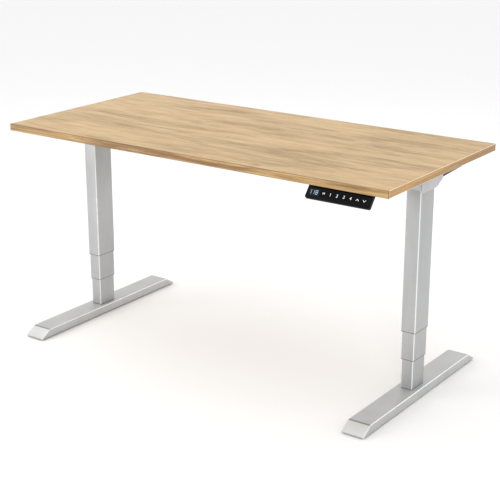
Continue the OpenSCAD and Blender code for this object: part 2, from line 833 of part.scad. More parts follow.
module band(len) {
    rotate([90, 0, 90]) translate([0, 0, -len / 2]) linear_extrude(len) polygon(band_outline());
}

module edge_band_long() {
    color(oak) for (e = sides) rotate([0, 0, e > 0 ? 0 : 180])
        translate([0, top_d / 2 - band_t, 0]) band(top_w);
}

module edge_band_short() {
    color(oak) for (e = sides) rotate([0, 0, e > 0 ? -90 : 90])
        translate([0, top_w / 2 - band_t, 0]) band(top_d - 2 * band_t);
}

module tabletop_screws() {
    color(zinc) for (p = wood_screws) translate([p[0], p[1], underside - p[2]])
        round_head_screw(wood_r, wood_head_r, wood_head_h, p[2] + wood_bite);
}

// ---- Control box ----

module at_box() {
    translate([box_x, box_y + box_d / 2, 0]) children();
}

module control_box_base() {
    color(charcoal) difference() {
        at_box() block(box_w + 2 * ear, box_d, box_plate_t, underside - box_plate_t);
        for (p = box_screws) translate([p[0], p[1], underside - box_plate_t - cut])
            cylinder(r = wood_hole, h = box_plate_t + 2 * cut);
    }
}

module control_box_cover() {
    h = box_h - box_plate_t;
    z0 = underside - box_h;
    skin = box_wall + port_deep;
    color(charcoal) at_box() difference() {
        translate([0, 0, z0]) linear_extrude(h) round_rect(box_w, box_d, box_r);
        translate([0, 0, z0 + box_wall]) linear_extrude(h)
            round_rect(box_w - 2 * skin, box_d - 2 * skin, box_r / 2);
        for (p = ports) translate([p[0] * box_w - p[1] / 2, box_d / 2 - port_deep, z0 + (h - p[2]) / 2])
            cube([p[1], port_deep + cut, p[2]]);
        for (i = [0:vent_count - 1])
            translate([box_w / 2 - vent_rim - i * vent_pitch, vent_end - box_d / 2, z0 - cut])
                cube([vent_w, box_d - 2 * vent_end, vent_deep + cut]);
    }
}

// Components as [place, size, height], in shares of the board's length and depth
board_blocks = [
    [-0.22, 0, 0.2, 0.42, 17], [0.02, -0.22, 0.07, 0.2, 8], [0.14, -0.22, 0.07, 0.2, 8],
    [0.26, -0.22, 0.07, 0.2, 8], [0.38, -0.22, 0.07, 0.2, 8]
];
capacitor_x = [0.05, 0.2, 0.35];
capacitor_r = 6.5;
capacitor_h = 14;

module control_board() {
    z0 = underside - box_plate_t - board_drop;
    w = box_w - 2 * (box_wall + port_deep + board_gap);
    d = box_d - 2 * (box_wall + port_deep + board_gap);
    color("darkgreen") at_box() union() {
        block(w, d, board_t, z0);
        four_corners(w / 2 - board_post_rim, d / 2 - board_post_rim) translate([0, 0, z0 + board_t - weld])
            cylinder(r = board_post_r, h = board_drop - board_t + weld);
        for (b = board_blocks) translate([b[0] * w, b[1] * d, 0])
            block(b[2] * w, b[3] * d, b[4], z0 - b[4] + weld);
        for (x = capacitor_x) translate([x * w, d * 0.2, z0 - capacitor_h])
            cylinder(r = capacitor_r, h = capacitor_h + weld);
    }
}

// ---- Handset ----

// Face frame: origin at the face's middle
module on_face() {
    translate([handset_x, face_y, underside]) rotate([90 - face_tilt, 0, 0])
        translate([0, -face_h / 2, 0]) children();
}

function face_point(v, w) = [
    face_y - v * sin(face_tilt) - w * cos(face_tilt),
    underside - v * cos(face_tilt) + w * sin(face_tilt)
];

// Side outline of the housing: the sloping face, a lip, and a wedge back
function housing_outline() = [
    [face_y + handset_back, underside], [face_y, underside],
    face_point(face_h - 2, 0), face_point(face_h, -2), face_point(face_h, -handset_lip),
    face_point(face_h - 4, -handset_lip - 5),
    face_point(face_h * 0.45, -handset_lip - 12),
    [face_y + handset_back - handset_flange_len, underside - handset_flange],
    [face_y + handset_back, underside - handset_flange]
];

function key_u(i) = first_key_u + i * key_pitch;

module key_shape(i, grow, t, w0) {
    translate([key_u(i), 0, w0]) linear_extrude(t)
        round_rect(key_w + 2 * grow, key_h + 2 * grow, key_r + grow);
}

module panel_shape(inset) {
    round_rect(handset_w - 2 * inset, face_h - 2 * inset, panel_r);
}

// The handset seen square on its face: round at the bottom, open at the top
module face_shape() {
    low = handset_r - face_h / 2;
    for (s = sides) translate([s * (handset_w / 2 - handset_r), low]) circle(r = handset_r);
    translate([handset_r - handset_w / 2, -face_h / 2]) square([handset_w - 2 * handset_r, handset_r + cut]);
    translate([-handset_w / 2, low]) square([handset_w, face_h]);
}

module handset_housing() {
    color(black) difference() {
        union() {
            intersection() {
                translate([handset_x, 0, 0]) along_x(handset_w) polygon(housing_outline());
                on_face() translate([0, 0, -bezel_t]) linear_extrude(bezel_t + cut) face_shape();
            }
            translate([handset_x, 0, 0]) along_x(handset_w - 2 * handset_step) polygon(housing_outline());
        }
        on_face() {
            translate([0, 0, -panel_t]) linear_extrude(panel_t + cut) panel_shape(panel_edge);
            translate([0, 0, -board_depth - board_t]) linear_extrude(board_depth + board_t)
                round_rect(well_w, well_h, well_r);
        }
        for (p = handset_screws) translate([p[0], p[1], underside - handset_screw_well - cut]) {
            cylinder(r = wood_hole, h = handset_screw_well + 2 * cut);
            cylinder(r = wood_head_r + 1, h = handset_screw_well - handset_flange + cut);
        }
    }
}

module handset_panel() {
    color(black) on_face() difference() {
        translate([0, 0, -panel_t]) linear_extrude(panel_t) panel_shape(panel_edge + fit);
        for (i = [0:key_count - 1]) key_shape(i, key_gap, panel_t + 2 * cut, -panel_t - cut);
        translate([display_u, 0, -panel_t - cut]) linear_extrude(panel_t + 2 * cut)
            round_rect(display_w, display_h, board_r);
    }
}

// Display block on the handset's circuit board
module handset_display() {
    color([0.1, 0.16, 0.2]) on_face() union() {
        translate([0, 0, -board_depth - board_t]) linear_extrude(board_t)
            round_rect(board_w, board_h, board_r);
        translate([display_u, 0, -board_depth - weld]) linear_extrude(board_depth + weld)
            round_rect(display_w - 2 * fit, display_h - 2 * fit, board_r);
    }
}

module key(i) {
    back = key_proud - key_t;
    color(black) on_face() union() {
        key_shape(i, 0, key_t, back);
        key_shape(i, key_rim, key_rim_t, back - key_rim_t + weld);
    }
}

// ---- Nodes ----

module left_foot() { at_leg(-1) foot(); }
module right_foot() { at_leg(1) foot(); }
module left_inner_tube() { at_leg(-1) inner_tube(); }
module right_inner_tube() { at_leg(1) inner_tube(); }
module left_mid_tube() { at_leg(-1) mid_tube(); }
module right_mid_tube() { at_leg(1) mid_tube(); }
module left_mid_glides() { at_leg(-1) mid_glides(); }
module right_mid_glides() { at_leg(1) mid_glides(); }
module left_upper_nut() { at_leg(-1) upper_nut(); }
module right_upper_nut() { at_leg(1) upper_nut(); }
module left_upper_screw() { at_leg(-1) upper_screw(); }
module right_upper_screw() { at_leg(1) upper_screw(); }
module left_worm_wheel() { at_leg(-1) worm_wheel(); }
module right_worm_wheel() { at_leg(1) worm_wheel(); }
module left_lower_screw() { at_leg(-1) lower_screw(); }
module right_lower_screw() { at_leg(1) lower_screw(); }
module left_key_bush() { at_leg(-1) key_bush(); }
module right_key_bush() { at_leg(1) key_bush(); }
module left_worm_shaft() { at_leg(-1) worm_shaft(); }
module right_worm_shaft() { at_leg(1) worm_shaft(); }
module left_outer_tube() { at_leg(-1) outer_tube(); }
module right_outer_tube() { at_leg(1) outer_tube(); }
module left_gearbox() { at_leg(-1) gearbox(); }
module right_gearbox() { at_leg(1) gearbox(); }
module left_motor() { at_leg(-1) motor(); }
module right_motor() { at_leg(1) motor(); }
module left_head_bracket() { at_leg(-1) head_bracket(); }
module right_head_bracket() { at_leg(1) head_bracket(); }
module left_side_arms() { at_leg(-1) side_arms(); }
module right_side_arms() { at_leg(1) side_arms(); }
module left_crossbeam() { mirror([1, 0, 0]) crossbeam_side(); }
module right_crossbeam() { crossbeam_side(); }
module left_front_leveler() { at_foot(-1, -1) leveler(); }
module left_rear_leveler() { at_foot(-1, 1) leveler(); }
module right_front_leveler() { at_foot(1, -1) leveler(); }
module right_rear_leveler() { at_foot(1, 1) leveler(); }
module foot_plates() { for (side = sides) at_leg(side) foot_plate(); }
module column_bolts() { for (side = sides) at_leg(side) column_bolt_set(); }
module inner_glides() { for (side = sides) at_leg(side) inner_glide(); }
module lower_nuts() { for (side = sides) at_leg(side) lower_nut(); }
module outer_glides() { for (side = sides) at_leg(side) outer_glide(); }
module key_memory() { key(0); }
module key_1() { key(1); }
module key_2() { key(2); }
module key_3() { key(3); }
module key_4() { key(4); }
module key_up() { key(5); }
module key_down() { key(6); }

left_foot();
right_foot();
foot_plates();
column_bolts();
left_inner_tube();
right_inner_tube();
inner_glides();
lower_nuts();
left_front_leveler();
left_rear_leveler();
right_front_leveler();
right_rear_leveler();
left_mid_tube();
right_mid_tube();
left_mid_glides();
right_mid_glides();
left_upper_nut();
right_upper_nut();
left_upper_screw();
right_upper_screw();
left_worm_wheel();
right_worm_wheel();
left_lower_screw();
right_lower_screw();
left_key_bush();
right_key_bush();
left_worm_shaft();
right_worm_shaft();
left_outer_tube();
right_outer_tube();
outer_glides();
left_gearbox();
right_gearbox();
left_motor();
right_motor();
left_head_bracket();
right_head_bracket();
left_side_arms();
right_side_arms();
crossbeam_center();
left_crossbeam();
right_crossbeam();
tabletop_board();
edge_band_long();
edge_band_short();
control_box_base();
control_box_cover();
control_board();
handset_housing();
handset_panel();
handset_display();
key_memory();
key_1();
key_2();
key_3();
key_4();
key_up();
key_down();
tabletop_screws();
crossbeam_screws();
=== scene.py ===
import math
import bpy
from mathutils import Matrix, Vector


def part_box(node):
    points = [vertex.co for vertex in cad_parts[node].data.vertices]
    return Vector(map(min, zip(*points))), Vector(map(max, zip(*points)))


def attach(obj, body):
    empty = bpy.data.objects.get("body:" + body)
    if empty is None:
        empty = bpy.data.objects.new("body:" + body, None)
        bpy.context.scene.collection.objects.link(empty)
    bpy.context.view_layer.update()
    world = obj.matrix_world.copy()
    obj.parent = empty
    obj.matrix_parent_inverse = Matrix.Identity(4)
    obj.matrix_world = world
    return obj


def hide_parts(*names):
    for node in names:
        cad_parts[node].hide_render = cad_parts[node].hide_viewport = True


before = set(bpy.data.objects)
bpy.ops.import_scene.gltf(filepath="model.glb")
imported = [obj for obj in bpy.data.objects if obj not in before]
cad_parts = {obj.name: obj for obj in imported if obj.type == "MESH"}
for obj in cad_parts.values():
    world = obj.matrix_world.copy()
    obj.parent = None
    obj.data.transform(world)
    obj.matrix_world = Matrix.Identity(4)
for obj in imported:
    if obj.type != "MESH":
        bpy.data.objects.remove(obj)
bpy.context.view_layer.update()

print("frame loaded")

sides = ("left", "right")
mm = 0.001
near = 0.01 * mm
reach = 5 * mm  # how far a cutter passes what it cuts
aligned = 0.9  # past this share a direction runs along its axis
across = 0.1  # under this share it runs square to it


# Small helpers for modelling by hand

def clearSelection():
    if bpy.context.object and bpy.context.object.mode != "OBJECT":
        bpy.ops.object.mode_set(mode="OBJECT")
    bpy.ops.object.select_all(action="DESELECT")


def grab(piece):
    clearSelection()
    piece.select_set(True)
    bpy.context.view_layer.objects.active = piece


def settle(piece):  # place, turn and size go into the mesh
    grab(piece)
    bpy.ops.object.transform_apply(location=True, rotation=True, scale=True)


def addBlock(name, low, high):
    clearSelection()
    bpy.ops.mesh.primitive_cube_add(size=1, location=[(a + b) / 2 for a, b in zip(low, high)])
    block = bpy.context.object
    block.name = name
    block.scale = [b - a for a, b in zip(low, high)]
    settle(block)
    return block


def addRound(name, radius, start, end, sideCount=48):  # a cylinder from one point to another
    start, end = Vector(start), Vector(end)
    clearSelection()
    bpy.ops.mesh.primitive_cylinder_add(
        vertices=sideCount, radius=radius, depth=(end - start).length, location=(start + end) / 2)
    rod = bpy.context.object
    rod.name = name
    rod.rotation_euler = (end - start).to_track_quat("Z", "Y").to_euler()
    settle(rod)
    return rod


def pick(piece, kind, test):  # selects faces by middle and normal, edges by middle and direction
    grab(piece)
    bpy.ops.object.mode_set(mode="EDIT")
    bpy.ops.mesh.select_mode(type=kind)
    bpy.ops.mesh.select_all(action="DESELECT")
    bpy.ops.object.mode_set(mode="OBJECT")
    mesh = piece.data
    if kind == "FACE":
        for face in mesh.polygons:
            face.select = test(face.center, face.normal)
    elif kind == "VERT":
        for point in mesh.vertices:
            point.select = test(point.co)
    else:
        for edge in mesh.edges:
            a, b = (mesh.vertices[i].co for i in edge.vertices)
            edge.select = test((a + b) / 2, (b - a).normalized())
    bpy.ops.object.mode_set(mode="EDIT")


def done():
    bpy.ops.object.mode_set(mode="OBJECT")


def bevelPicked(width, segments=3, slot=-1):  # slot is the material of the new faces
    bpy.ops.mesh.bevel(offset=width, segments=segments, affect="EDGES", material=slot)
    done()


def assignPicked(piece, slot):
    piece.active_material_index = slot
    bpy.ops.object.material_slot_assign()
    done()


def paint(piece, *materials):
    for material in materials:
        piece.data.materials.append(material)


def deletePicked():
    bpy.ops.mesh.delete(type="FACE")
    done()


def shift(piece, test, move):  # moves the picked corners
    pick(piece, "VERT", test)
    bpy.ops.transform.translate(value=move)
    done()


def cutAway(piece, point, normal):  # removes what lies on the normal's side
    grab(piece)
    bpy.ops.object.mode_set(mode="EDIT")
    bpy.ops.mesh.select_all(action="SELECT")
    bpy.ops.mesh.bisect(plane_co=point, plane_no=normal, use_fill=True, clear_outer=True)
    done()


def applyModifier(piece, kind, **values):
    grab(piece)
    modifier = piece.modifiers.new(kind.title(), kind)
    for key, value in values.items():
        setattr(modifier, key, value)
    bpy.ops.object.modifier_apply(modifier=modifier.name)


def roundEdges(piece, width, segments=2, angle=40):
    applyModifier(piece, "BEVEL", width=width, segments=segments, limit_method="ANGLE",
                  angle_limit=math.radians(angle), harden_normals=False)


def thicken(piece, wall):
    applyModifier(piece, "SOLIDIFY", thickness=wall, offset=-1, use_even_offset=True)


def carve(piece, cutter, operation="DIFFERENCE"):
    applyModifier(piece, "BOOLEAN", operation=operation, object=cutter, solver="EXACT")
    bpy.data.objects.remove(cutter, do_unlink=True)


def joinPieces(name, parts):
    clearSelection()
    for part in parts:
        part.select_set(True)
    bpy.context.view_layer.objects.active = parts[0]
    if len(parts) > 1:
        bpy.ops.object.join()
    parts[0].name = name
    return parts[0]


def copyPiece(piece, name):
    twin = piece.copy()
    twin.data = piece.data.copy()
    twin.name = name
    bpy.context.collection.objects.link(twin)
    return twin


def turnedHalf(piece, name):  # the same part at the other column, turned half round
    twin = copyPiece(piece, name)
    twin.rotation_euler = (0, 0, math.pi)
    settle(twin)
    return twin


def finishPiece(piece, body, material, stands=(), angle=35):
    grab(piece)
    bpy.ops.object.shade_smooth_by_angle(angle=math.radians(angle))
    if not piece.data.materials:
        paint(piece, material)
    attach(piece, body)
    if stands:
        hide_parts(*stands)


# Helpers for finishes

def tint(red, green, blue):  # screen values 0 to 255 to linear light
    def linear(value):
        value /= 255
        return value / 12.92 if value <= 0.04045 else ((value + 0.055) / 1.055) ** 2.4
    return (linear(red), linear(green), linear(blue), 1)


def shade(color, *shares):  # a darker colour, by one share or one for each channel
    shares = shares * 3 if len(shares) == 1 else shares
    return (*(value * share for value, share in zip(color, shares)), 1)


class Finish:
    def __init__(self, name, color, roughness, metallic=0.0, coat=0.0, coatRoughness=0.1):
        self.material = bpy.data.materials.new(name)
        self.material.use_nodes = True
        self.nodes = self.material.node_tree.nodes
        self.links = self.material.node_tree.links
        self.shader = self.nodes["Principled BSDF"]
        self.set("Base Color", color)
        self.set("Roughness", roughness)
        self.set("Metallic", metallic)
        self.set("Coat Weight", coat)
        self.set("Coat Roughness", coatRoughness)
        self.material.diffuse_color = color

    def set(self, socket, value):
        self.shader.inputs[socket].default_value = value

    def add(self, kind, **values):
        node = self.nodes.new(kind)
        for key, value in values.items():
            if hasattr(node, key):
                setattr(node, key, value)
            else:
                node.inputs[key.replace("_", " ")].default_value = value
        return node

    def place(self, stretch=(1, 1, 1), move=(0, 0, 0)):
        coordinates = self.add("ShaderNodeTexCoord")
        mapping = self.add("ShaderNodeMapping", Scale=stretch, Location=move)
        self.links.new(coordinates.outputs["Object"], mapping.inputs["Vector"])
        return mapping.outputs["Vector"]

    def noise(self, stretch, detail=4.0, rough=0.55, distortion=0.0, move=(0, 0, 0)):
        node = self.add("ShaderNodeTexNoise", Scale=1.0, Detail=detail, Roughness=rough,
                        Distortion=distortion)
        self.links.new(self.place(stretch, move), node.inputs["Vector"])
        return node.outputs["Fac"]

    def ramp(self, factor, stops):
        node = self.add("ShaderNodeValToRGB")
        marks = node.color_ramp.elements
        while len(marks) < len(stops):
            marks.new(0.5)
        for mark, (position, color) in zip(marks, stops):
            mark.position = position
            mark.color = color
        self.links.new(factor, node.inputs["Fac"])
        return node.outputs["Color"]

    def level(self, factor, low, high, lowValue=0.0, highValue=1.0):
        node = self.add("ShaderNodeMapRange")
        for key, value in zip(("From Min", "From Max", "To Min", "To Max"),
                              (low, high, lowValue, highValue)):
            node.inputs[key].default_value = value
        self.links.new(factor, node.inputs["Value"])
        return node.outputs["Result"]

    def mix(self, factor, first, second):
        node = self.add("ShaderNodeMix", data_type="RGBA")
        for socket, value in ((node.inputs[0], factor), (node.inputs[6], first),
                              (node.inputs[7], second)):
            if isinstance(value, tuple):
                socket.default_value = value
            else:
                self.links.new(value, socket)
        return node.outputs[2]

    def sum(self, first, second, operation="ADD"):
        node = self.add("ShaderNodeMath", operation=operation)
        for socket, value in zip(node.inputs, (first, second)):
            if isinstance(value, float):
                socket.default_value = value
            else:
                self.links.new(value, socket)
        return node.outputs["Value"]

    def wire(self, output, socket):
        self.links.new(output, self.shader.inputs[socket])

    def bump(self, height, distance, strength=1.0):
        node = self.add("ShaderNodeBump", Strength=strength, Distance=distance)
        self.links.new(height, node.inputs["Height"])
        self.wire(node.outputs["Normal"], "Normal")


def powderCoat(name, dark, light, roughness, metallic):
    finish = Finish(name, light, roughness, metallic)
    fleck = finish.noise((900, 900, 900), detail=2.0)
    cloud = finish.noise((9, 9, 4), detail=3.0)
    tone = finish.sum(finish.level(fleck, 0.3, 0.7, 0.0, 0.55),
                      finish.level(cloud, 0.3, 0.7, 0.0, 0.45))
    finish.wire(finish.ramp(tone, [(0.1, dark), (0.9, light)]), "Base Color")
    finish.wire(finish.level(cloud, 0.2, 0.8, roughness - 0.05, roughness + 0.07), "Roughness")
    finish.bump(finish.noise((1500, 1500, 1500), detail=2.0), 0.00006, 0.5)
    return finish.material


def oakDecor(name, along, light, middle, dark, contrast=1.0, fine=1.0):
    finish = Finish(name, middle, 0.42, coat=0.08, coatRoughness=0.35)

    def grain(run, cross, **values):  # pattern stretched along the boards
        cross = cross * fine
        stretch = (run, cross, cross) if along == "X" else (cross, run, cross)
        return finish.noise(stretch, **values)

    broad = grain(1.9, 9, detail=5.0, rough=0.62, distortion=0.8)
    fibre = grain(6.5, 85, detail=8.0, rough=0.7, distortion=0.3, move=(3, 1, 2))
    streak = grain(3.2, 26, detail=7.0, rough=0.7, distortion=1.2, move=(7, 4, 0))
    dash = grain(9, 95, detail=4.0, rough=0.6, distortion=0.5, move=(2, 8, 1))
    pore = grain(30, 640, detail=3.0, rough=0.7, move=(1, 5, 3))
    tone = finish.sum(finish.level(broad, 0.32, 0.7, 0.0, 0.6 * contrast),
                      finish.level(fibre, 0.34, 0.68, 0.0, 0.5 * contrast))
    color = finish.ramp(tone, [(0.0, light), (0.5, middle), (1.0, dark)])
    heart = shade(dark, 0.7, 0.64, 0.5)
    color = finish.mix(finish.level(streak, 0.58, 0.72, 0.0, 0.42 * contrast), color, heart)
    color = finish.mix(finish.level(dash, 0.64, 0.72, 0.0, 0.6 * contrast), color, heart)
    pores = finish.level(pore, 0.60, 0.74, 0.0, 0.3 * contrast)
    color = finish.mix(pores, color, shade(dark, 0.45))
    if fine == 1.0:  # a few small knots on the broad face
        knots = finish.add("ShaderNodeTexVoronoi", Scale=1.0)
        finish.links.new(finish.place((2.4, 4.2, 2.4), (0.35, 0.2, 0)), knots.inputs["Vector"])
        core = finish.level(knots.outputs["Distance"], 0.012, 0.07, 1.0, 0.0)
        worn = finish.sum(core, finish.level(fibre, 0.35, 0.55, 0.2, 0.9), "MULTIPLY")
        color = finish.mix(worn, color, shade(dark, 0.4))
    finish.wire(color, "Base Color")
    finish.wire(finish.level(fibre, 0.3, 0.7, 0.36, 0.5), "Roughness")
    finish.bump(finish.sum(pore, finish.sum(fibre, 0.6, "MULTIPLY")), 0.00012, 0.45)
    return finish.material


def moldedPlastic(name, color, roughness, grainSize=700, bumpDepth=0.00008, gloss=0.5):
    finish = Finish(name, color, roughness)
    finish.set("Specular IOR Level", gloss)
    texture = finish.noise((grainSize, grainSize, grainSize), detail=3.0)
    cloud = finish.noise((30, 30, 30), detail=2.0)
    finish.wire(finish.ramp(cloud, [(0.3, shade(color, 0.8)), (0.7, color)]), "Base Color")
    finish.wire(finish.level(texture, 0.3, 0.7, roughness - 0.05, roughness + 0.08), "Roughness")
    finish.bump(texture, bumpDepth, 0.4)
    return finish.material


def brushedMetal(name, color, roughness, stretch):
    finish = Finish(name, color, roughness, metallic=1.0)
    lines = finish.noise(stretch, detail=5.0, rough=0.7)
    stain = finish.noise((60, 60, 60), detail=3.0)
    worn = finish.sum(lines, stain, "MULTIPLY")
    finish.wire(finish.ramp(worn, [(0.1, shade(color, 0.7)), (0.4, color)]), "Base Color")
    finish.wire(finish.level(lines, 0.25, 0.75, roughness - 0.08, roughness + 0.12), "Roughness")
    finish.bump(lines, 0.00005, 0.4)
    return finish.material


def circuitBoard(name):
    green, copper = tint(24, 92, 52), tint(56, 140, 84)
    finish = Finish(name, green, 0.35)
    cells = finish.add("ShaderNodeTexVoronoi", feature="DISTANCE_TO_EDGE", Scale=1.0)
    finish.links.new(finish.place((180, 120, 120)), cells.inputs["Vector"])
    tracks = finish.level(cells.outputs["Distance"], 0.03, 0.06, 1.0, 0.0)
    finish.wire(finish.mix(tracks, green, copper), "Base Color")
    finish.wire(finish.level(tracks, 0.0, 1.0, 0.4, 0.28), "Roughness")
    finish.bump(tracks, 0.00005, 0.5)
    return finish.material


def glowing(name, color, strength):
    finish = Finish(name, color, 0.4)
    finish.set("Emission Color", color)
    wear = finish.noise((700, 700, 700), detail=2.0)
    finish.wire(finish.ramp(wear, [(0.3, shade(color, 0.85)), (0.7, color)]), "Base Color")
    finish.set("Emission Strength", strength)
    return finish.material


silver = powderCoat("silverPowderCoat", tint(176, 177, 178), tint(198, 199, 199), 0.36, 0.35)
silverTube = powderCoat("silverTube", tint(166, 167, 168), tint(187, 188, 188), 0.36, 0.35)
# a lighter copy of the silver for the feet's sloping ends: painted light from the front
silverSlopePaintedLight = powderCoat("silverSlopePaintedLight", tint(202, 203, 203), tint(222, 223, 223), 0.36, 0.3)
# a brighter, smoother copy of the silver: painted highlight on the tube corners and the feet's folded
# edges
silverCorner = powderCoat("silverCorner", tint(228, 229, 229), tint(244, 244, 244), 0.24, 0.2)
# a darker copy of the silver for the feet's bends: painted shade in the crease
silverCreasePaintedShade = powderCoat("silverCreasePaintedShade", tint(138, 139, 140), tint(152, 153, 153), 0.42, 0.3)
black = powderCoat("blackPowderCoat", tint(20, 20, 21), tint(34, 34, 35), 0.48, 0.0)
motorPaint = powderCoat("motorPaint", tint(38, 38, 40), tint(58, 58, 60), 0.42, 0.2)
oakTop = oakDecor("oakDecorTop", "X", tint(212, 181, 132), tint(196, 163, 112), tint(158, 122, 70),
                  contrast=1.2)
oakLong = oakDecor("oakBandLong", "X", tint(206, 171, 115), tint(184, 149, 95), tint(128, 93, 52),
                   contrast=1.4, fine=3.2)
oakShort = oakDecor("oakBandShort", "Y", tint(212, 171, 109), tint(195, 153, 93),
                    tint(156, 114, 62), contrast=1.3, fine=3.2)
# a darker copy of the band's oak for the long bands' rounded arris: painted shade along the edge
oakArrisShade = oakDecor("oakArrisPaintedShade", "X", tint(136, 105, 66), tint(118, 88, 54),
                        tint(90, 64, 36), fine=3.2)
# a pale copy of the band's oak for the short bands' rounded arris: painted highlight along the edge
oakArrisHighlight = oakDecor("oakArrisPaintedHighlight", "Y", tint(248, 232, 202), tint(240, 220, 184),
                         tint(220, 194, 150), contrast=0.6, fine=3.2)
glueLine = moldedPlastic("glueLine", tint(120, 82, 48), 0.6)
housingBlack = moldedPlastic("handsetBlack", tint(9, 9, 11), 0.42, 900, gloss=0.16)
panelBlack = moldedPlastic("panelGloss", tint(6, 6, 8), 0.22, 1400, bumpDepth=0.00002, gloss=0.1)
boxPlastic = moldedPlastic("boxPlastic", tint(40, 40, 42), 0.5, 500, bumpDepth=0.00015)
# dark grey plastic of the glide lips, partly painted shadow under each tube's rim; also the painted
# contact shadow at the column's foot
lipPlastic = moldedPlastic("lipPlastic", tint(92, 92, 94), 0.5, 500)
rubber = moldedPlastic("levelerRubber", tint(34, 34, 34), 0.72, 600, bumpDepth=0.0002)
glidePlastic = moldedPlastic("glidePlastic", tint(226, 222, 208), 0.4, 500)
zinc = brushedMetal("zincSteel", tint(190, 194, 198), 0.32, (300, 300, 300))
turnedSteel = brushedMetal("turnedSteel", tint(184, 186, 188), 0.26, (60, 60, 2600))
bronze = brushedMetal("gearBronze", tint(190, 142, 84), 0.3, (500, 500, 60))
circuit = circuitBoard("circuitBoard")
digitGlow = glowing("digitGlow", tint(158, 186, 206), 0.5)
displayBlack = moldedPlastic("displayGlass", tint(14, 20, 28), 0.12, 1400, bumpDepth=0.00001,
                             gloss=0.22)
# white legend ink given a faint glow: painted highlight on printed marks
legendWhite = glowing("legendWhite", tint(240, 242, 244), 0.55)
print("finishes ready")


# Tabletop: board, glued bands and the thin glue lines between them

tabletop = dict(band=2 * mm, arris=1.3 * mm, glue=0.35 * mm, cornerGlue=2 * mm, back=0.15 * mm,
                sink=0.03 * mm, seamDepth=2 * mm, seamSink=0.01 * mm)


def makeTabletop():
    low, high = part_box("edge_band_long")
    band, back = tabletop["band"], tabletop["back"]
    board = addBlock("tabletopBoard", (low[0] + band, low[1] + band, low[2]),
                     (high[0] - band, high[1] - band, high[2] - tabletop["sink"]))
    finishPiece(board, "top", oakTop, ["tabletop_board"])
    glue = []
    for axis, name, node, material, arris in (
            (1, "edgeBandLong", "edge_band_long", oakLong, oakArrisShade),
            (0, "edgeBandShort", "edge_band_short", oakShort, oakArrisHighlight)):
        strips = []
        for end in (-1, 1):
            first, last = list(low), list(high)
            outer = high[axis] if end > 0 else low[axis]
            inner = outer - end * band
            first[axis], last[axis] = min(outer, inner), max(outer, inner)
            if axis == 0:  # the short bands stop at the long ones, behind a line of glue
                first[1] += band + tabletop["cornerGlue"]
                last[1] -= band + tabletop["cornerGlue"]
            strip = addBlock(name, first, last)
            paint(strip, material, arris)
            pick(strip, "EDGE", lambda middle, way: abs(middle[axis] - outer) < near)
            # slot 1 rounds the top arris: painted shade along the long bands, a painted highlight along
            # the short ones
            bevelPicked(tabletop["arris"], 4, 1)
            strips.append(strip)
            seamLow, seamHigh = list(low), list(high)
            seamLow[axis], seamHigh[axis] = inner - tabletop["glue"], inner + tabletop["glue"]
            seamLow[1 - axis] += band
            seamHigh[1 - axis] -= band
            seamLow[2], seamHigh[2] = high[2] - tabletop["seamDepth"], high[2] - tabletop["seamSink"]
            glue.append(addBlock("glueLine", seamLow, seamHigh))
        finishPiece(joinPieces(name, strips), "top", material, [node])
    for side in (-1, 1):
        for end in (-1, 1):
            x = high[0] if side > 0 else low[0]
            y = high[1] - band if end > 0 else low[1] + band
            xs = sorted((x - side * band, x - side * back))
            ys = sorted((y, y - end * tabletop["cornerGlue"]))
            glue.append(addBlock("glueLine", (xs[0], ys[0], low[2] + back),
                                 (xs[1], ys[1], high[2] - back)))
    finishPiece(joinPieces("edgeGlueLines", glue), "top", glueLine)
    print("tabletop made")


# Columns: three tubes on each side, with a softened rim at each mouth

column = dict(wall=1.5 * mm, corner=4 * mm, cornerShare=0.3, rim=0.3 * mm, lip=2 * mm,
              seatInset=0.4 * mm)


def squareRing(name, low, high, *materials):  # a short or long tube with round corners
    ring = addBlock(name, low, high)
    paint(ring, *materials)
    pick(ring, "EDGE", lambda middle, way: abs(way.z) > aligned)
    bevelPicked(column["corner"], 6)
    if len(materials) > 1:  # a painted highlight down each corner, a brighter copy of the silver
        pick(ring, "FACE", lambda middle, normal:
             min(abs(normal.x), abs(normal.y)) > column["cornerShare"])
        assignPicked(ring, 1)
    pick(ring, "FACE", lambda middle, normal: abs(normal.z) > aligned)
    deletePicked()
    thicken(ring, column["wall"])
    roundEdges(ring, column["rim"], 2, 60)
    return ring


def makeTube(node, body):
    low, high = (Vector(corner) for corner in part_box(node))
    name = node.replace("_tube", "Tube").replace("_", "")
    foot = Vector((0, 0, column["lip"]))
    tube = squareRing(name, low + foot, high, silverTube, silverCorner)
    finishPiece(tube, body, silverTube, [node], angle=50)
    end = Vector((high.x, high.y, low.z)) + foot
    if "inner" in node:  # a dark ring under the innermost tube: painted contact shadow where the column meets the foot
        inset = Vector((column["seatInset"], column["seatInset"], 0))
        ring = squareRing(name + "ShadowRing", low + inset, end - inset, lipPlastic)
    else:  # the lip of the glide at the tube's mouth; its dark grey is also painted shadow under the rim
        ring = squareRing(name + "Lip", low, end, lipPlastic)
    finishPiece(ring, body, lipPlastic, angle=50)


def makeColumns():
    for side in sides:
        makeTube(side + "_inner_tube", "base")
        makeTube(side + "_mid_tube", side + "_middle")
        makeTube(side + "_outer_tube", "top")
    print("columns made")


# Feet: folded steel channels with sloping ends

foot = dict(bevel=45 * mm, nose=4 * mm, slopeShare=0.2, wall=2.5 * mm, bend=4 * mm, fold=2.5 * mm,
            rim=0.5 * mm)


